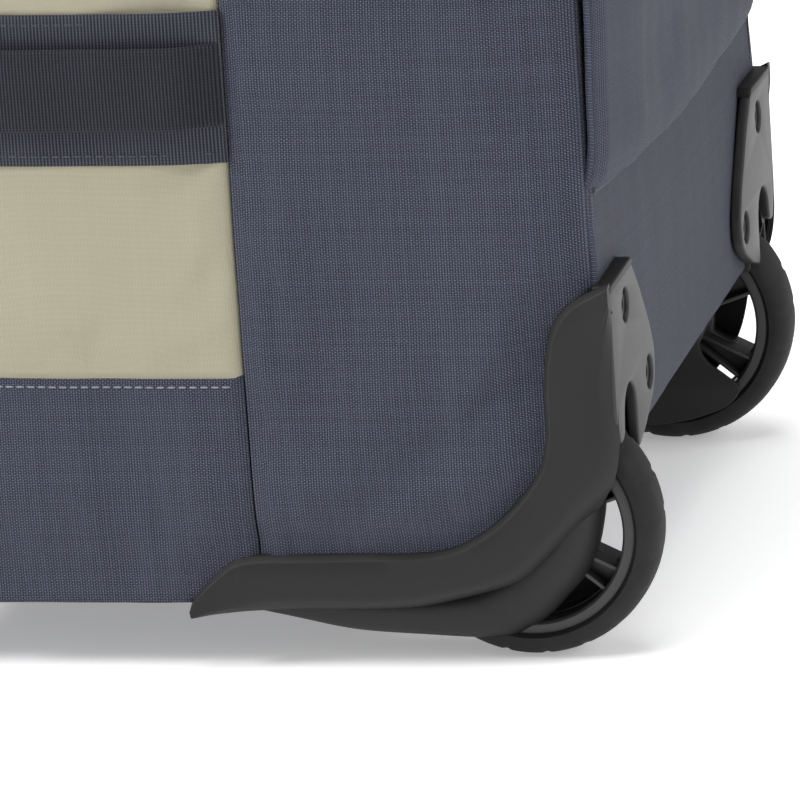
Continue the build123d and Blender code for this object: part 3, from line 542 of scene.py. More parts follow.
def mirrored(obj, name):
    """The same piece on the other side."""
    twin = obj.copy()
    twin.data = obj.data.copy()
    twin.name = name
    twin.data.name = name
    bpy.context.scene.collection.objects.link(twin)
    points = points_of(twin)
    points[:, 0] *= -1
    move_points(twin, points)
    twin.data.flip_normals()
    return twin


def to_line(points, ends):
    """Each row's distance to a chain of straight runs, in the plane of the first two columns."""
    best = np.full(len(points), 1e9)
    for start, end in zip(ends, ends[1:]):
        a, b = np.array(start, float), np.array(end, float)
        t = np.clip(((points - a) @ (b - a)) / ((b - a) @ (b - a)), 0, 1)
        best = np.minimum(best, np.linalg.norm(points - a - t[:, None] * (b - a), axis=1))
    return best


def spline(points, steps=8):
    """A smooth line through listed points."""
    points = np.array(points, float)
    padded = np.vstack([2 * points[0] - points[1], points, 2 * points[-1] - points[-2]])
    rows = []
    for a, b, c, d in zip(padded, padded[1:], padded[2:], padded[3:]):
        for t in np.arange(steps) / steps:
            rows.append(0.5 * (2 * b + (c - a) * t + (2 * a - 5 * b + 4 * c - d) * t ** 2
                               + (3 * b - a - 3 * c + d) * t ** 3))
    return np.array(rows + [points[-1]])


def new_curve(name, dimensions, bevel, steps):
    """An empty curve with a round bevel."""
    curve = bpy.data.curves.new(name, "CURVE")
    curve.dimensions = dimensions
    curve.bevel_depth = bevel
    curve.bevel_resolution = steps
    return curve


def add_run(curve, path, closed=False):
    """Lay straight runs through a path's points."""
    run = curve.splines.new("POLY")
    run.points.add(len(path) - 1)
    run.points.foreach_set("co", np.hstack([np.array(path, float), np.ones((len(path), 1))]).ravel())
    run.use_cyclic_u = closed
    return run


def curve_to_mesh(name, curve):
    """Turn a finished curve into a mesh piece."""
    obj = bpy.data.objects.new(name, curve)
    bpy.context.scene.collection.objects.link(obj)
    activate(obj)
    bpy.ops.object.convert(target="MESH")
    return bpy.context.object


def tube_along(name, path, radius, material, body="case", closed=False):
    """A cord sewn along a path, such as piping."""
    curve = new_curve(name, "3D", radius, 1)
    curve.use_fill_caps = not closed
    add_run(curve, path, closed)
    obj = curve_to_mesh(name, curve)
    box_flat(obj)
    return dress(obj, material, body, angle=60)


# ------------------------------------------------------------------ housing outlines, from the wheel's axle

GUARD_INNER = ((-115, 19.5), (-115.4, 22.5), (-112, 27.5), (-104, 35.5), (-98, 39.2), (-89, 40.5), (-60, 41),
               (-28, 42), (-13, 48), (-3, 56), (5, 65), (10, 74), (12, 86), (12, 98), (13, 109), (15, 118),
               (19, 125), (25, 130), (34, 134))
GUARD_EDGE = ((-114.4, 18.7), (-112.8, 18), (-107, 17.7), (-80, 18), (-51, 18), (-35, 19), (-22, 22),
              (-7, 26), (1, 29), (8, 35), (16, 43), (25, 53), (30, 60), (34, 68), (36, 80), (36, 95),
              (36, 110), (36, 124))
SCREWS = ((-1, 121), (-35, 88))


def side_place(y, z):
    """A point of the housing's side view, given in millimetres from the wheel's axle and the floor."""
    return WHEEL.y + y * MM, z * MM


GUARD_CURVE = np.array([side_place(y, z) for y, z in spline(GUARD_INNER, 5)])


def under_guard(y, z):
    """How far a point lies inside the guard's inner edge, in metres; negative is on the open cloth."""
    points = np.stack([y, z], 1)
    distance = to_line(points, GUARD_CURVE)
    height = np.interp(y, GUARD_CURVE[:, 0], GUARD_CURVE[:, 1], left=-1, right=GUARD_CURVE[-1, 1])
    return np.where(z < height, distance, -distance)


# ------------------------------------------------------------------ soft case

CORNER_R = 0.009


def relief(y, z, seed):
    """Slow, small unevenness of stretched cloth."""
    return np.array([noise.noise((a * 22, b * 15, seed)) + 0.5 * noise.noise((a * 60, b * 35, seed + 7))
                     for a, b in zip(y, z)])


def crease(y, z, start, end, width, depth):
    """A soft fold that runs from start to end and fades at both ends."""
    a, b = np.array(start, float), np.array(end, float)
    rel = np.stack([y, z], 1) - a
    along = (rel @ (b - a)) / ((b - a) @ (b - a))
    side = rel - along[:, None] * (b - a)
    away = np.linalg.norm(side, axis=1)
    return depth * np.exp(-(away / width) ** 2) * np.sin(np.pi * np.clip(along, 0, 1)) ** 0.8


# Start and end in the housing's side view, then width and depth in millimetres
PULL_FOLDS = (((-88, 38), (-16, 132), 8, 0.9), ((-78, 40), (8, 108), 5, -0.8), ((-60, 41), (10, 88), 6, 0.7),
              ((-88, 60), (-40, 150), 7, -0.6), ((-89, 100), (-62, 190), 9, 0.6),
              ((-20, 60), (20, 200), 10, 0.6))
SLACK_FOLDS = (((-150, 100), (-146, 26), 5, 0.9), ((-128, 98), (-122, 24), 4, -0.8),
               ((-108, 100), (-104, 30), 5, 0.9), ((-98, 96), (-92, 44), 3, -0.7),
               ((-140, 60), (-110, 28), 5, 0.6))


def folds(y, z, runs, strength):
    """The sum of some soft folds."""
    total = np.zeros(len(y))
    for start, end, width, depth in runs:
        total += crease(y, z, side_place(*start), side_place(*end), width * MM, depth * MM * strength)
    return total


def side_x(y, z):
    """How far out the cloth of the side stands at y, z: tucked at its seams and below the guard."""
    y, z = np.asarray(y, float), np.asarray(z, float)
    seam = np.abs(y - SEAM_Y)
    rear = y > SEAM_Y
    to_corner = BACK_Y - y
    swell = 0.0042 * smooth((TOP_Z - z) / 0.08) * smooth((z - FLOOR_GAP) / 0.05)
    swell = swell * smooth(np.where(rear, to_corner, y - CASE_FRONT_Y) / 0.055 + 0.12)
    dip = 0.0016 * np.exp(-(seam / 0.0035) ** 2) * np.where(rear, 1, 0.6)
    dip = dip - 0.0009 * np.exp(-((seam - 0.006) / 0.003) ** 2) * rear
    tuck = smooth(-under_guard(y, z) / 0.016)
    wrinkle = relief(y, z, 3) * 0.0012
    creased = swell + wrinkle + folds(y, z, PULL_FOLDS, 1.6) + folds(y, z, SLACK_FOLDS, 1.2)
    out = creased * tuck - dip
    round_off = CORNER_R - np.clip(to_corner, 0, CORNER_R)
    corner = CORNER_R - np.sqrt(np.maximum(CORNER_R ** 2 - round_off ** 2, 0))
    return HALF_W + out - 0.0006 * (1 - tuck) - np.where(rear, corner, 0)


def side_sheet(name, y0, y1, z0, z1, lift=0.0, cell=0.003):
    """Cloth on the right side between two heights and two depths."""
    def place(u, v):
        y, z = y0 + (y1 - y0) * u, z0 + (z1 - z0) * v
        return np.stack([side_x(y, z) + lift, y, z], 1)
    return cloth_face(name, place, (y1 - y0, z1 - z0), cell)


def soften_edges(obj, y0, y1, z0, z1, reach=0.0035, fold=0.0012, sides="lrtb"):
    """Turn a panel's stitched edges under, so that its seams read as folds."""
    points = points_of(obj)
    gaps = {"l": points[:, 1] - y0, "r": y1 - points[:, 1], "b": points[:, 2] - z0, "t": z1 - points[:, 2]}
    for side in sides:
        points[:, 0] -= fold * np.clip(1 - gaps[side] / reach, 0, 1) ** 2
    move_points(obj, points)


def both_sides(obj, name, material):
    """Finish the right piece and make the left one."""
    left = mirrored(obj, name + "_left")
    obj.name = name + "_right"
    for piece, hand in ((obj, "right"), (left, "left")):
        dress(piece, material, "case", angle=180)
    return obj, left


def build_rear_side():
    obj = side_sheet("rear_side", SEAM_Y, BACK_Y, FLOOR_GAP, SIDE_TOP_Z, cell=0.0025)
    points = points_of(obj)
    pinned = ((points[:, 1] < SEAM_Y + 0.003) | (points[:, 1] > BACK_Y - 0.008)
              | (points[:, 2] > SIDE_TOP_Z - 0.003) | (points[:, 2] < FLOOR_GAP + 0.003)
              | (under_guard(points[:, 1], points[:, 2]) > -0.001))
    billow(obj, pinned, pressure=1.2, slack=0.006, cap=0.0016)
    drop_faces(obj, lambda c: under_guard(c[:, 1], c[:, 2]) > 0.007)
    thicken(obj, SIDE_CLOTH_T)
    right, left = both_sides(obj, "rear_side_cloth", "navy_fabric")
    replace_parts(right, "side_rear_panel_right")
    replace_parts(left, "side_rear_panel_left")


def build_main_side():
    obj = side_sheet("main_side", CASE_FRONT_Y, SEAM_Y - SEAM_GAP, LOWER_SEAM_Z, UPPER_SEAM_Z)
    points = points_of(obj)
    edge = 0.004
    pinned = ((points[:, 1] < CASE_FRONT_Y + edge) | (points[:, 1] > SEAM_Y - edge)
              | (points[:, 2] < LOWER_SEAM_Z + edge) | (points[:, 2] > UPPER_SEAM_Z - edge))
    billow(obj, pinned, pressure=1.5, slack=0.008, cap=0.0016)
    soften_edges(obj, CASE_FRONT_Y, SEAM_Y, LOWER_SEAM_Z, UPPER_SEAM_Z, sides="lr")
    thicken(obj, CLOTH_T)
    right, left = both_sides(obj, "main_side_cloth", "khaki_fabric")
    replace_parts(right, "side_main_panel_right")
    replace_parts(left, "side_main_panel_left")
    return right


def build_corner_sides():
    """The navy pieces below and above the main panel; they lap over its ends."""
    for name, z0, z1, lap in (("lower", FLOOR_GAP, LOWER_SEAM_Z + 0.001, "t"),
                              ("upper", UPPER_SEAM_Z - 0.001, SIDE_TOP_Z, "b")):
        obj = side_sheet(name + "_corner", CASE_FRONT_Y, SEAM_Y - SEAM_GAP, z0, z1, lift=0.0007)
        soften_edges(obj, CASE_FRONT_Y, SEAM_Y, z0, z1, sides="lr" + lap, reach=0.0022, fold=0.0009)
        thicken(obj, SIDE_CLOTH_T)
        right, left = both_sides(obj, name + "_corner_cloth", "navy_fabric")
        if name == "lower":
            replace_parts(right, "side_corner_panels_right")
            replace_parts(left, "side_corner_panels_left")


build_rear_side()
MAIN_SIDE = build_main_side()
build_corner_sides()


# ------------------------------------------------------------------ back of the case

KICK_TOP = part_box("kick_panel")[1].z


def curved_seam(x):
    """Height of the seam between the lower and the bulging upper back cloth."""
    t = np.asarray(x, float) / HALF_W
    return KICK_TOP - 0.004 + 0.007 * t ** 2 + 0.003 * t


def build_back():
    corner = 0.006

    def lower(u, v):
        x = (u - 0.5) * 2 * (HALF_W - corner + 0.001)
        low = HEEL_Z
        z = low + (curved_seam(x) + 0.003 - low) * v
        y = BACK_Y + 0.001 * np.sin(np.pi * v) * np.cos(x / HALF_W * math.pi / 2) + relief(x, z, 11) * 0.0005
        return np.stack([x, y - 0.0014 * v ** 6, z], 1)

    def upper(u, v):
        x = (u - 0.5) * 2 * (HALF_W - 0.0035)
        low = curved_seam(x)
        z = low + (SIDE_TOP_Z - low) * v
        side = np.clip((HALF_W - 0.0035 - np.abs(x)) / 0.05, 0, 1)
        rise = (z - low) / 0.024
        bulge = 0.0105 * np.sqrt(np.clip(rise, 0, 1) * (2 - np.clip(rise, 0, 1))) * smooth((TOP_Z - z) / 0.12)
        fold = 0.0012 * np.sin(z * 55 + x * 9) * smooth(rise / 2) * smooth((TOP_Z - z) / 0.2)
        y = BACK_Y + (bulge + fold) * (0.6 + 0.4 * smooth(side)) + relief(x, z, 5) * 0.0012 * side
        y -= (1 - smooth(side * 6)) * 0.0035
        return np.stack([x, y, z], 1)

    kick = cloth_face("kick_cloth", lower, (2 * HALF_W, KICK_TOP - HEEL_Z), 0.0035)
    upper_back = cloth_face("back_cloth", upper, (2 * HALF_W, TOP_Z - KICK_TOP), 0.0035)
    for obj, node in ((kick, "kick_panel"), (upper_back, "back_panel")):
        obj.data.flip_normals()
        if obj is kick:
            drop_faces(obj, lambda c: (np.abs(c[:, 0]) > WHEEL.x - 0.018) & (c[:, 2] < 0.110))
        thicken(obj, CLOTH_T)
        dress(obj, "navy_fabric", "case", angle=180)
        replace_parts(obj, node)
    x = np.linspace(-HALF_W + 0.008, HALF_W - 0.008, 60)
    seam = np.stack([x, np.full(60, BACK_Y - 0.0002), curved_seam(x) + 0.0004], 1)
    tube_along("back_seam_piping", seam, 0.0011, DARK_THREAD)


build_back()


# ------------------------------------------------------------------ stitching and webbing

def stitches(name, path, length=0.0026, gap=0.0012, width=0.0007, material=THREAD, body="case"):
    """Separate stitches along a path of points, each a small raised bar."""
    path = np.array(path, float)
    runs = np.linalg.norm(np.diff(path, axis=0), axis=1)
    place = np.concatenate([[0], np.cumsum(runs)])
    curve = new_curve(name, "3D", width / 2, 0)
    curve.use_fill_caps = True
    for start in np.arange(0, place[-1] - length, length + gap):
        at = start + length * np.array([0.0, 0.2, 0.8, 1.0])
        run = add_run(curve, np.stack([np.interp(at, place, path[:, axis]) for axis in range(3)], 1))
        # Each stitch dips into the cloth at its two ends
        for point, radius in zip(run.points, (0.5, 1.0, 1.0, 0.5)):
            point.radius = radius
    obj = curve_to_mesh(name, curve)
    box_flat(obj)
    return dress(obj, material, body, angle=180)


def stitches_both_sides(name, path, **style):
    """Stitches on the right side and the same row on the left."""
    row = stitches(name + "_right", path, **style)
    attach(mirrored(row, name + "_left"), "case")


CLOTH_TREE = BVHTree.FromObject(MAIN_SIDE, bpy.context.evaluated_depsgraph_get())


def cloth_x(y, z):
    """Where the finished main panel's outer face is at y, z."""
    y, z = (np.array(side, float) for side in np.broadcast_arrays(y, z))
    guess = side_x(y, z)
    hits = [CLOTH_TREE.ray_cast(Vector((HALF_W + 0.05, a, b)), Vector((-1, 0, 0)))[0] for a, b in zip(y, z)]
    return np.array([x if hit is None else hit.x for hit, x in zip(hits, guess)])


def on_side(y, z, lift):
    """Points on the right side's cloth, lift metres proud of it."""
    y, z = (np.array(side, float) for side in np.broadcast_arrays(y, z))
    return np.stack([np.maximum(side_x(y, z), cloth_x(y, z)) + lift, y, z], 1)


def side_stitching():
    """Lines of topstitching along the side's seams."""
    y = np.linspace(CASE_FRONT_Y + 0.004, SEAM_Y - 0.003, 40)
    for name, z in (("lower", LOWER_SEAM_Z - 0.0025), ("upper", UPPER_SEAM_Z + 0.0025)):
        stitches_both_sides(name + "_topstitch", on_side(y, z, 0.0008))


side_stitching()

BAND_W = 0.052
STRAP_W = 0.028
WEBBING_T = 0.0014
BAND_HEIGHTS = (("lower", 0.205), ("upper", 0.459))


def webbing_strip(name, y0, y1, middle, width, lift, hump=0.0):
    """Webbing laid along the side at one height; hump lifts it clear of the case between its ends."""
    def place(u, v):
        y = y0 + (y1 - y0) * u
        across = (v - 0.5) * width
        rise = hump * smooth(np.minimum(u, 1 - u) / 0.16)
        dome = -0.0004 * (2 * across / width) ** 6
        base = np.max([cloth_x(y, middle + shift * width) for shift in (-0.45, -0.2, 0, 0.2, 0.45)], axis=0)
        return np.stack([base + lift + rise + dome, y, middle + across], 1)

    obj = cloth_face(name, place, (y1 - y0, width), 0.002)
    thicken(obj, WEBBING_T)
    return obj


def build_bands():
    """The wide bands across the main side panel, and the narrow grab straps over them."""
    for tag, z in BAND_HEIGHTS:
        band = webbing_strip(f"{tag}_band", CASE_FRONT_Y + 0.002, SEAM_Y - 0.0003, z, BAND_W, 0.0010)
        strap = webbing_strip(f"{tag}_strap", CASE_FRONT_Y + 0.003, SEAM_Y - 0.0008, z + 0.001, STRAP_W,
                              0.0024, hump=0.0036)
        for obj, label, finish, width, node in (
                (band, "wide_band", "webbing_wide", BAND_W, "wide_bands"),
                (strap, "grab_strap", "webbing_dark", STRAP_W, "grab_straps")):
            right, left = both_sides(obj, f"{tag}_{label}", finish)
            if tag == "lower":
                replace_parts(right, node)
        y = np.linspace(CASE_FRONT_Y + 0.005, SEAM_Y - 0.0022, 40)
        for where, offset in (("low", -BAND_W / 2 + 0.0035), ("high", BAND_W / 2 - 0.0035)):
            stitches_both_sides(f"{tag}_band_{where}_stitches", on_side(y, z + offset, 0.0011), width=0.0006,
                                material=DARK_THREAD)


build_bands()


# ------------------------------------------------------------------ corner housings

def ribbon(name, inner, outer, profile):
    """A strip between two matching lines in the side view. profile gives (share across, x) rings."""
    count = len(inner)
    rings = []
    for index, (a, b) in enumerate(zip(inner, outer)):
        section = profile(index / (count - 1)) if callable(profile) else profile
        rings.append([(x, *(a + (b - a) * share)) for share, x in section])
    return skin(name, rings, closed=False)


def resample(points, count):
    """The same line in count points, evenly spaced."""
    steps = np.concatenate([[0], np.cumsum(np.linalg.norm(np.diff(points, axis=0), axis=1))])
    at = np.linspace(0, steps[-1], count)
    return np.stack([np.interp(at, steps, points[:, axis]) for axis in range(points.shape[1])], 1)


def plate_from(name, outline, holes=(), thickness=0.003, bevel=0.0008, axis="y", at=0.0, steps=2):
    """A flat plate from outlines (rows of two), extruded along an axis from at, with rounded edges."""
    curve = new_curve(name, "2D", bevel, steps)
    curve.fill_mode = "BOTH"
    curve.extrude = thickness / 2 - bevel
    curve.offset = -bevel
    for loop in (outline, *holes):
        add_run(curve, np.hstack([np.array(loop, float), np.zeros((len(loop), 1))]), closed=True)
    obj = curve_to_mesh(name, curve)
    points = points_of(obj)
    middle = at - thickness / 2
    if axis == "y":
        points = np.stack([points[:, 0], middle + points[:, 2], points[:, 1]], 1)
    else:
        points = np.stack([middle + points[:, 2], points[:, 0], points[:, 1]], 1)
    move_points(obj, points)
    outward(obj, merge=True)
    return obj


def rounded(corners, radius, steps=6):
    """A closed outline with its corners rounded."""
    corners = [np.array(c, float) for c in corners]
    rows = []
    for i, corner in enumerate(corners):
        before, after = corners[i - 1], corners[(i + 1) % len(corners)]
        reach = min(radius, np.linalg.norm(before - corner) * 0.45, np.linalg.norm(after - corner) * 0.45)
        start = corner + (before - corner) / np.linalg.norm(before - corner) * reach
        end = corner + (after - corner) / np.linalg.norm(after - corner) * reach
        for t in np.linspace(0, 1, steps):
            rows.append((1 - t) ** 2 * start + 2 * t * (1 - t) * corner + t * t * end)
    return np.array(rows)


def circle(centre, radius, sides=32):
    angles = np.arange(sides) * 2 * math.pi / sides
    return np.stack([centre[0] + radius * np.cos(angles), centre[1] + radius * np.sin(angles)], 1)


GUARD_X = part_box("wheel_housing_right")[1].x
PLATE_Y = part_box("wheel_housing_right")[1].y
PLATE_T = 0.004
CHEEK_T = 0.0024


def housing_x(millimetres):
    """An X place given in millimetres outboard of the wheel's middle."""
    return WHEEL.x + millimetres * MM


def build_guard():
    """The scuff guard: a chamfered inner edge, a flat face, and a rounded flank that runs into the lobe."""
    inner = np.vstack([GUARD_CURVE, side_place(36, 135)])
    edge = np.array([side_place(y, z) for y, z in spline(GUARD_EDGE, 5)])
    count = 110
    inner, edge = resample(inner, count), resample(edge, count)
    face = GUARD_X

    def section(t):
        # The flank turns under the wheel below and meets the back plate above
        deep = 1 - 0.62 * float(smooth(np.array((t - 0.62) / 0.14)))
        return [(-0.02, face - 0.0044), (0.0, face - 0.0026), (0.065, face - 0.0002), (0.085, face),
                (0.32, face), (0.60, face - 0.0001), (0.68, face - 0.0007), (0.77, face - 0.0024 * deep),
                (0.86, face - 0.0055 * deep), (0.94, face - 0.0100 * deep), (1.0, face - 0.0165 * deep),
                (0.92, face - 0.0170 * deep), (0.80, face - 0.0100 * deep), (0.55, face - 0.0050),
                (0.20, face - 0.0044)]

    obj = ribbon("corner_guard", inner, edge, section)
    # The chamfer along the cloth is painted lighter: a painted highlight where it faces the light from above
    painted_highlight = obj.data.attributes.new("painted_chamfer_highlight", "FLOAT", "POINT")
    rings = len(section(0))
    painted_highlight.data.foreach_set("value", [1.0 if i % rings in (1, 2) else 0.0 for i in range(count * rings)])
    box_flat(obj)
    return obj


def build_lobe():
    """The fairing below the guard that wraps the wheel's front, with a soft ridge."""
    lower = spline(((-92, 19), (-84, 15), (-63, 10), (-38, 8), (-11, 7), (0, 11), (6, 15), (11, 20), (19, 29),
                    (24, 39), (26.5, 49), (28, 58), (31, 68), (34, 78)), 5)
    upper = spline(((-96, 21), (-84, 24), (-63, 24), (-38, 24), (-20, 26), (-10, 30), (-3, 34), (4, 40),
                    (10, 47), (15, 55), (19, 63), (22, 71), (26, 80), (31, 90)), 5)
    count = 90
    lower = resample(np.array([side_place(y, z) for y, z in lower]), count)
    upper = resample(np.array([side_place(y, z) for y, z in upper]), count)
    out, groove, low = housing_x(20.5), housing_x(16.5), housing_x(9.5)
    profile = [(-0.12, groove - 0.0012), (0.0, groove), (0.10, out - 0.0012), (0.20, out - 0.0001),
               (0.34, out - 0.0002), (0.48, out - 0.0008), (0.60, out - 0.0018), (0.72, out - 0.0034),
               (0.82, out - 0.0054),
               (0.91, out - 0.0078), (0.97, low + 0.0014), (1.0, low - 0.0020), (0.9, low - 0.0020),
               (0.6, low - 0.0005), (-0.12, low)]
    obj = ribbon("housing_lobe", upper, lower, profile)
    box_flat(obj)
    return obj


def build_back_plate():
    """The plate behind the housing with its wheel slot and two screw recesses."""
    half, crown = 10.5, 83.5
    arch = [(half * math.cos(t), crown + half * math.sin(t)) for t in np.linspace(math.pi, 0, 14)]
    outer = [(24, 88), (24, 133), (-13, 133.6), (-26, 121), (-40, 104), (-45.5, 94), (-44.5, 84), (-38, 78.5),
             (-25, 72), (-half - 0.5, 67.5), *arch, (half + 1, 79), (18, 77)]
    outline = rounded([(housing_x(x), z * MM) for x, z in outer], 0.003)
    recesses = [circle((housing_x(x), z * MM), 0.0058) for x, z in SCREWS]
    obj = plate_from("back_plate", outline, recesses, PLATE_T, 0.0009, "y", PLATE_Y, 3)
    box_flat(obj)
    rim = [(24.4, 134.0), (-13.4, 134.6), (-16.0, 131.6), (-12.6, 131.2), (23.4, 130.8)]
    lip_outline = rounded([(housing_x(x), z * MM) for x, z in rim], 0.0015)
    lip = plate_from("plate_lip", lip_outline, (), 0.0065, 0.0008, "y", PLATE_Y + 0.0003, 3)
    box_flat(lip)
    return obj, lip


def build_well():
    """The arch over the wheel, the inner cheek and the outer cheek."""
    arch_r, arch_t, side_gap = WHEEL_R + 0.0045, 0.002, 0.0035
    angles = np.linspace(math.radians(52), math.radians(215), 40)
    inner, outer = (np.stack([WHEEL.y + radius * np.cos(angles), WHEEL.z + radius * np.sin(angles)], 1)
                    for radius in (arch_r, arch_r + arch_t))
    x0, x1 = WHEEL.x - TYRE_W / 2 - side_gap, WHEEL.x + TYRE_W / 2 + side_gap
    pieces = [ribbon("wheel_arch", inner, outer, [(0, x0), (0, x1), (1, x1), (1, x0)])]
    upper = [(13, 60), (28, 66), (33, 66), (33, 96), (-10, 95.5), (-37, 85), (-49, 50)]
    outer_cheek = [*upper, (-37, 30), (0, 26)]
    inner_cheek = [*upper, (-48, 22), (-34, 10), (-6, 8), (8, 10), (22, 15), (28, 22), (20, 28), (13, 34),
                   (12, 44)]
    for name, x, outline in (("inner_cheek", x0, inner_cheek), ("outer_cheek", x1 + CHEEK_T, outer_cheek)):
        corners = [side_place(y, z) for y, z in outline]
        pieces.append(plate_from(name, rounded(corners, 0.005), (), CHEEK_T, 0.0005, "x", x))
    for piece in pieces:
        box_flat(piece)
    return pieces


def build_screws():
    screws = []
    for index, (x, z) in enumerate(SCREWS):
        deselect()
        bpy.ops.mesh.primitive_cylinder_add(vertices=40, radius=0.0052, depth=0.0016,
                                            location=(housing_x(x), PLATE_Y - 0.0024, z * MM),
                                            rotation=(math.pi / 2, 0, 0))
        screw = bpy.context.object
        screw.name = f"housing_screw_{index}"
        bpy.ops.object.transform_apply(location=True, rotation=True)
        pick_faces(screw, [polygon.normal.y > 0.9 for polygon in screw.data.polygons])
        bpy.ops.mesh.inset(thickness=0.0007, depth=0.0003)
        bpy.ops.mesh.inset(thickness=0.0022, depth=0.0)
        bpy.ops.mesh.inset(thickness=0.0002, depth=-0.0011)
        bpy.ops.object.mode_set(mode="OBJECT")
        box_flat(screw)
        screws.append(screw)
    return screws


def build_housings():
    """Dress the right housing's parts and mirror each to the left."""
    parts = [(build_guard(), "black_plastic", 24), (build_lobe(), "black_plastic", 40)]
    parts += zip(build_back_plate(), (PAINTED_LIT_PLATE_PLASTIC, "black_plastic"), (35, 35))
    parts += [(piece, "black_plastic", 35) for piece in build_well()]
    parts += [(piece, "black_screws", 35) for piece in build_screws()]
    rights, lefts = [], []
    for piece, finish, angle in parts:
        name = piece.name
        left = mirrored(piece, name + "_left")
        piece.name = name + "_right"
        for side in (piece, left):
            dress(side, finish, slot=finish if isinstance(finish, str) else "black_plastic", angle=angle)
        rights.append(piece)
        lefts.append(left)
    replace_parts(rights[0], "wheel_housing_right")
    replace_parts(lefts[0], "wheel_housing_left")
    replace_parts(rights[-1], "housing_screws")


build_housings()


# ------------------------------------------------------------------ wheels

def lathe(name, profile, centre, sides=128):
    """Spin a closed profile of (radius, x) points around the axle."""
    rings = []
    for step in range(sides):
        angle = step * 2 * math.pi / sides
        rings.append([(centre.x + x, centre.y + radius * math.cos(angle), centre.z + radius * math.sin(angle))
                      for radius, x in profile])
    obj = skin(name, rings, closed=True)
    box_flat(obj)
    return obj


def build_tyre(centre, side):
    half, radius, depth = TYRE_W / 2, WHEEL_R, 0.0085
    profile = [(radius - depth, -half * 0.86)]
    for angle in np.linspace(-90, 90, 21):
        a = math.radians(angle)
        profile.append((radius - 0.0072 + 0.0072 * abs(math.cos(a)) ** 0.75, half * math.copysign(
            abs(math.sin(a)) ** 0.72, math.sin(a))))
    profile += [(radius - depth, half * 0.86), (radius - depth + 0.0004, half * 0.5),
                (radius - depth + 0.0004, -half * 0.5)]
    obj = lathe(f"tyre_tread_{side}", profile, centre, 160)
    points = points_of(obj)
    rel = points - np.array(centre)
    reach = np.hypot(rel[:, 1], rel[:, 2])
    turn = np.arctan2(rel[:, 2], rel[:, 1])
    blocks = np.where(np.sin(turn * 20) > 0.86, 0.0006, 0.0) * smooth((reach - radius + 0.0065) / 0.004)
    blocks *= smooth((np.abs(rel[:, 0]) - half * 0.25) / 0.003)
    scale = (reach - blocks) / reach
    rel[:, 1:] *= scale[:, None]
    move_points(obj, rel + np.array(centre))
    return dress(obj, "tyre_rubber", f"wheel_{side}", angle=50)


def spoke_window(first, last, inner, outer):
    """A see-through opening between two spokes, with rounded corners."""
    corners = []
    for a in np.linspace(first, last, 6):
        corners.append((outer * math.cos(a), outer * math.sin(a)))
    trim = 0.16 * (last - first)
    for a in np.linspace(last - trim, first + trim, 4):
        corners.append((inner * math.cos(a), inner * math.sin(a)))
    return rounded(corners, 0.0028, 4)


def build_rim(centre, side):
    """Rim ring, channel-shaped spokes with raised edges, and the hub."""
    outer = WHEEL_R - 0.0080
    pieces = []
    ring = [(outer, -0.0095), (outer, 0.0095), (outer - 0.0012, 0.0102), (outer - 0.0036, 0.0102),
            (outer - 0.0044, 0.0094), (outer - 0.0048, 0.002), (outer - 0.0048, -0.002),
            (outer - 0.0044, -0.0094),
            (outer - 0.0036, -0.0102), (outer - 0.0012, -0.0102)]
    pieces.append(lathe(f"rim_ring_{side}", ring, centre))
    hub = [(0.0135, -0.0100), (0.0135, 0.0100), (0.0128, 0.0107), (0.0113, 0.0107), (0.0108, 0.0100),
           (0.0108, -0.0100), (0.0113, -0.0107), (0.0128, -0.0107)]
    pieces.append(lathe(f"rim_hub_{side}", hub, centre, 96))
    pitch = math.pi / 3
    gap = 0.26
    first = math.radians(27)
    windows = [spoke_window(first + i * pitch + gap / 2, first + (i + 1) * pitch - gap / 2, 0.0155,
                            outer - 0.0052) for i in range(6)]
    offset = np.array([centre.y, centre.z])
    web = plate_from(f"rim_web_{side}", circle((0, 0), outer - 0.003, 96) + offset,
                     [circle((0, 0), 0.012, 48) + offset, *[w + offset for w in windows]], 0.004, 0.0006, "x",
                     centre.x + 0.002)
    pieces.append(web)
    for index in range(6):
        for edge in (-1, 1):
            angle = first + index * pitch
            along = np.array([math.cos(angle), math.sin(angle)])
            across = np.array([-along[1], along[0]])
            corners = []
            for distance, width, shift in ((0.0128, 0.0007, 0.0018), (outer - 0.0042, 0.0007, 0.0042)):
                middle = along * distance + across * edge * shift
                corners.append((middle - across * width, middle + across * width))
            outline = [corners[0][0], corners[1][0], corners[1][1], corners[0][1]]
            tag = "low" if edge < 0 else "high"
            pieces.append(plate_from(f"rim_rib_{index}_{tag}_{side}", [tuple(c + offset) for c in outline],
                                     (), 0.0165, 0.0004, "x", centre.x + 0.00825, 1))
    deselect()
    for piece in pieces:
        piece.select_set(True)
    bpy.context.view_layer.objects.active = pieces[0]
    bpy.ops.object.join()
    rim = bpy.context.object
    rim.name = f"rim_{side}"
    box_flat(rim)
    return dress(rim, "rim_plastic", f"wheel_{side}", angle=35)


for side, sign in (("right", 1), ("left", -1)):
    centre = Vector((sign * WHEEL.x, WHEEL.y, WHEEL.z))
    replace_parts(build_tyre(centre, side), f"tyre_{side}")
    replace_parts(build_rim(centre, side), f"wheel_rim_{side}")


# ------------------------------------------------------------------ the other soft pieces

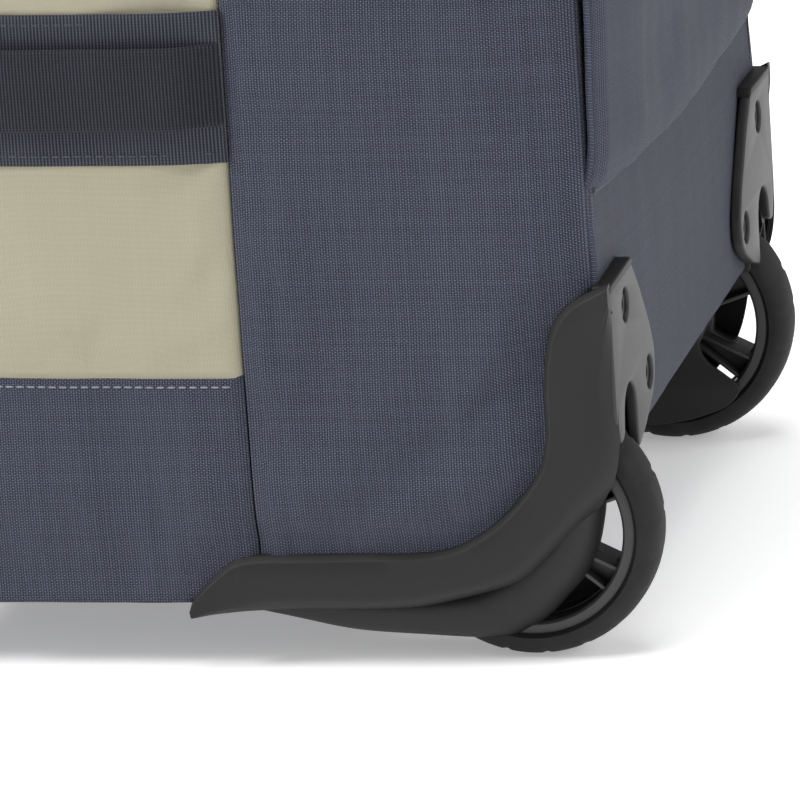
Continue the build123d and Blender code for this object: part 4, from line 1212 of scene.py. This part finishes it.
def wall_profile(t, low, high, depth, radius):
    """A run up one wall, across and down the other: place across, and depth behind the front."""
    flat = high - low - 2 * radius
    arc = radius * math.pi / 2
    lengths = [depth - radius, arc, flat, arc, depth - radius]
    ends = np.cumsum([0, *lengths])
    at = np.clip(t, 0, 1) * ends[-1]
    turn_a = np.clip((at - ends[1]) / arc, 0, 1) * math.pi / 2
    turn_b = np.clip((at - ends[3]) / arc, 0, 1) * math.pi / 2
    across = low + radius * (1 - np.cos(turn_a)) + np.clip(at - ends[2], 0, flat) + radius * np.sin(turn_b)
    across = np.where(at < ends[1], low, np.where(at > ends[4], high, across))
    behind = np.where(at < ends[1], depth - at, radius * (1 - np.sin(turn_a)))
    behind = np.where(at > ends[3], radius * (1 - np.cos(turn_b)), behind)
    behind = np.where(at > ends[4], radius + at - ends[4], behind)
    return across, behind


def tray(name, x0, x1, z0, z1, front, back, radius, swell, seed, cell=0.005, cap=0.003):
    """A soft box that is open behind: one sheet, shaped over its front, corners and walls."""
    depth = back - front

    def place(u, v):
        x, behind_u = wall_profile(u, x0, x1, depth, radius)
        z, behind_v = wall_profile(v, z0, z1, depth, radius)
        share = np.maximum(behind_u, behind_v) / depth
        inside = (x - x0) * (x1 - x) * (z - z0) * (z1 - z)
        middle = np.clip(inside * 16 / ((x1 - x0) ** 2 * (z1 - z0) ** 2), 0, 1)
        y = front + share * depth - swell * middle ** 0.6 + relief(x, z, seed) * 0.0011 * (1 - share)
        pull = 0.0016 * np.sin(np.pi * share)
        x = x - np.sign(x - (x0 + x1) / 2) * pull * (behind_u > radius)
        z = z - np.sign(z - (z0 + z1) / 2) * pull * (behind_v > radius)
        return np.stack([x, y, z], 1)

    obj = cloth_face(name, place, (x1 - x0 + 2 * depth, z1 - z0 + 2 * depth), cell)
    outward(obj, merge=True)
    if obj.data.polygons[len(obj.data.polygons) // 2].normal.y > 0:
        obj.data.flip_normals()
    billow(obj, points_of(obj)[:, 1] > back - 0.002, pressure=1.5, slack=0.008, cap=cap, frames=12)
    thicken(obj, 0.002)
    return obj


def build_lid():
    low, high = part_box("lid_gusset")
    lid = tray("lid_cloth", low.x, high.x, low.z, high.z, low.y, high.y, 0.010, 0.0012, 21, cell=0.006,
               cap=0.0012)
    dress(lid, "navy_fabric", "lid", angle=180)
    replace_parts(lid, "lid_gusset", "lid_panel")
    x0, x1, z0, z1 = low.x + 0.003, high.x - 0.003, low.z + 0.003, high.z - 0.003
    edge = rounded([(x0, z0), (x1, z0), (x1, z1), (x0, z1)], 0.008, 8)
    path = np.stack([edge[:, 0], np.full(len(edge), low.y + 0.0035), edge[:, 1]], 1)
    tube_along("lid_piping", path, 0.0021, MATERIALS["webbing_dark"], "lid", closed=True)
    for node, seed in (("lower_pocket", 31), ("upper_pocket", 37)):
        a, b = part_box(node)
        pocket = tray(node + "_cloth", a.x, b.x, a.z, b.z, a.y, b.y, 0.012, 0.004, seed)
        dress(pocket, "navy_fabric", "lid", slot="navy_fabric", angle=180)
        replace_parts(pocket, node)
        inset = 0.005
        x = np.array([a.x + inset, a.x + inset, b.x - inset, b.x - inset])
        z = np.array([b.z - 0.016, a.z + inset + 0.004, a.z + inset + 0.004, b.z - 0.016])
        line = resample(rounded(np.stack([x, z], 1), 0.012)[:-6], 160)
        tree = BVHTree.FromObject(pocket, bpy.context.evaluated_depsgraph_get())
        spots = []
        for px, pz in line:
            hit = tree.ray_cast(Vector((px, a.y - 0.05, pz)), Vector((0, 1, 0)))[0]
            spots.append((px, (hit.y if hit else a.y) - 0.0003, pz))
        stitches(node + "_topstitch", spots, body="lid")


def flat_cloth(node, material, axis, sign, swell, seed, hole=None):
    """A flat panel's cloth, bowed a little, with its edges turned in."""
    low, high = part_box(node)
    low, high = np.array(low), np.array(high)
    first, second = [i for i in range(3) if i != axis]
    thickness = min(CLOTH_T, high[axis] - low[axis])
    outer = high[axis] if sign > 0 else low[axis]

    def place(u, v):
        rows = np.zeros((len(u), 3))
        rows[:, first] = low[first] + (high[first] - low[first]) * u
        rows[:, second] = low[second] + (high[second] - low[second]) * v
        inside = 16 * u * (1 - u) * v * (1 - v)
        edge = np.minimum(np.minimum(u, 1 - u) * (high[first] - low[first]),
                          np.minimum(v, 1 - v) * (high[second] - low[second]))
        fold = 0.0012 * np.clip(1 - edge / 0.003, 0, 1) ** 2
        rows[:, axis] = outer + sign * (swell * inside ** 0.5 - fold
                                        + relief(rows[:, first], rows[:, second], seed) * swell * 0.2)
        return rows

    obj = cloth_face(node + "_cloth", place, (high[first] - low[first], high[second] - low[second]), 0.005)
    if obj.data.polygons[0].normal[axis] * sign < 0:
        obj.data.flip_normals()
    if hole:
        drop_faces(obj, hole)
    thicken(obj, thickness)
    dress(obj, material, angle=180)
    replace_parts(obj, node)


def build_ends():
    bezel_low, bezel_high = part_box("handle_bezel")
    bezel_y = (bezel_low.y + bezel_high.y) / 2

    def under_bezel(c):
        across, along = np.abs(c[:, 0]), np.abs(c[:, 1] - bezel_y)
        return (across < bezel_high.x - 0.007) & (along < bezel_high.y - bezel_y - 0.006)

    def in_well(c):
        side = WHEEL.x - TYRE_W / 2 - 0.009
        return (np.abs(c[:, 0]) > side) & (c[:, 1] > WHEEL.y - WHEEL_R - 0.009)

    flat_cloth("top_panel", "navy_fabric", 2, 1, 0.0022, 41, hole=under_bezel)
    flat_cloth("bottom_panel", "navy_fabric", 2, -1, 0.0, 43, hole=in_well)
    flat_cloth("lining_panel", "lining_fabric", 1, -1, 0.002, 47)
    flat_cloth("pack_straps", "webbing_dark", 1, -1, 0.0006, 49)
    low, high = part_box("heel_panel")

    def heel(u, v):
        x = low.x + (high.x - low.x) * u
        y, z = low.y + (high.y - low.y) * v, low.z + (high.z - low.z) * v
        sink = 0.0006 * np.sin(np.pi * v)
        return np.stack([x, y + sink, z - sink], 1)

    obj = cloth_face("heel_cloth", heel, (high.x - low.x, math.hypot(high.y - low.y, high.z - low.z)), 0.005)
    if obj.data.polygons[0].normal.z > 0:
        obj.data.flip_normals()
    thicken(obj, CLOTH_T)
    dress(obj, "navy_fabric", "case", angle=180)
    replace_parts(obj, "heel_panel")


def strap_along(name, path, width, thickness):
    """Webbing that follows a path in XZ, with its width along Y."""
    path = resample(np.array(path, float), 120)
    length = float(np.linalg.norm(np.diff(path, axis=0), axis=1).sum())
    middle = sum(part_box("carry_handle")[i].y for i in (0, 1)) / 2

    def place(u, v):
        at = u * (len(path) - 1)
        x = np.interp(at, np.arange(len(path)), path[:, 0])
        z = np.interp(at, np.arange(len(path)), path[:, 1])
        return np.stack([x, middle + (v - 0.5) * width, z], 1)

    obj = cloth_face(name, place, (length, width), 0.002)
    thicken(obj, thickness)
    return obj


def build_carry_handle():
    low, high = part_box("carry_handle")
    half, base, top = high.x, low.z, high.z
    arch = [(half, base + 0.0022), (half - 0.020, base + 0.0022), (half - 0.034, base + 0.010),
            (half - 0.048, top - 0.0045)]
    route = spline([(-x, z) for x, z in arch] + [(0, top - 0.0032)] + arch[::-1], 10)
    strap = strap_along("carry_strap", route, high.y - low.y, 0.0022)
    dress(strap, "webbing_dark", "carry_handle", angle=180)
    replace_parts(strap, "carry_handle")
    sleeve_half = half - 0.052
    deselect()
    bpy.ops.mesh.primitive_cylinder_add(vertices=32, radius=0.5, depth=2 * sleeve_half,
                                        rotation=(0, math.pi / 2, 0),
                                        location=(0, (low.y + high.y) / 2, top - 0.0055))
    sleeve = bpy.context.object
    sleeve.name = "carry_sleeve"
    bpy.ops.object.transform_apply(location=False, rotation=True)
    sleeve.scale = (1, high.y - low.y + 0.002, 0.0105)
    bpy.ops.object.transform_apply(location=True, scale=True)
    bevel = sleeve.modifiers.new("ends", "BEVEL")
    bevel.width = 0.0025
    bevel.segments = 3
    bevel.limit_method = "ANGLE"
    bevel.angle_limit = math.radians(60)
    finish_modifiers(sleeve)
    box_flat(sleeve)
    dress(sleeve, "navy_fabric", "carry_handle", slot="webbing_dark", angle=50)


def build_zips():
    """Coils of the main zip, and the cloth hinge between lid and case."""
    for node, body, shift in (("zip_tape_case", "case", 0.0010), ("zip_tape_lid", "lid", -0.0010)):
        low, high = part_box(node)
        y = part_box("zip_tape_case")[0].y + shift - 0.0001
        out = high.x - 0.0005
        path = [(low.x + 0.02, y, high.z), (out - 0.012, y, high.z), (out - 0.003, y, high.z - 0.003),
                (out, y, high.z - 0.012), (out, y, low.z + 0.012), (out - 0.003, y, low.z + 0.003),
                (out - 0.012, y, low.z), (low.x + 0.02, y, low.z)]
        stitches(node + "_coil", path, length=0.0013, gap=0.0007, width=0.0019, body=body,
                 material=MATERIALS["black_plastic"])
    low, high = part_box("hinge_strip")
    case_y, lid_y, lap, end_gap = CASE_FRONT_Y, LID_BACK_Y, 0.004, 0.01

    def place(u, v):
        x = -HALF_W - 0.0006 - 0.0006 * np.sin(np.pi * u)
        y = lid_y - lap + (case_y + lap - lid_y + lap) * u
        return np.stack([x, y, low.z + end_gap + (high.z - low.z - 2 * end_gap) * v], 1)

    obj = cloth_face("hinge_cloth", place, (case_y - lid_y + 2 * lap, high.z - low.z - 2 * end_gap), 0.0015)
    if obj.data.polygons[0].normal.x > 0:
        obj.data.flip_normals()
    thicken(obj, 0.0008)
    dress(obj, "zip_tape", None, slot="zip_tape", angle=180)
    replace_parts(obj, "hinge_strip")
    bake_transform(obj)


build_lid()
build_ends()
build_carry_handle()
build_zips()


# ------------------------------------------------------------------ studio

def build_studio():
    """A plain pale floor and soft light."""
    deselect()
    bpy.ops.mesh.primitive_plane_add(size=1, location=(0, 0, -0.0005))
    floor = bpy.context.object
    floor.name = "floor"
    floor.scale = (30, 30, 1)
    bpy.ops.object.transform_apply(scale=True)
    paint = Finish("floor_paint", roughness=0.9, specular=0.1)
    tone = paint.mottle(0.6)
    paint.colour(paint.blend(tone, (0.92, 0.92, 0.92), (0.94, 0.94, 0.94)))
    paint.shader.inputs["Emission Color"].default_value = (1, 1, 1, 1)
    paint.shader.inputs["Emission Strength"].default_value = 0.3
    floor.data.materials.append(paint.material)
    world = bpy.data.worlds.new("studio")
    world.use_nodes = True
    world.node_tree.nodes["Background"].inputs["Color"].default_value = (1, 1, 1, 1)
    world.node_tree.nodes["Background"].inputs["Strength"].default_value = 0.30
    bpy.context.scene.world = world
    bpy.context.scene.view_settings.view_transform = "Standard"
    for name, place, size, power in (("key", (1.25, -2.3, 2.0), 0.8, 62), ("fill", (1.2, 2.2, 1.0), 1.5, 16),
                                     ("back_light", (-0.5, 2.2, 1.6), 1.2, 12),
                                     ("top", (0.3, -0.2, 3.2), 2.6, 110)):
        light = bpy.data.lights.new(name, "AREA")
        light.energy = power
        light.size = size
        lamp = bpy.data.objects.new(name, light)
        bpy.context.scene.collection.objects.link(lamp)
        lamp.location = place
        lamp.rotation_euler = (Vector((0.1, 0.05, 0.12)) - Vector(place)).to_track_quat("-Z", "Y").to_euler()


build_studio()
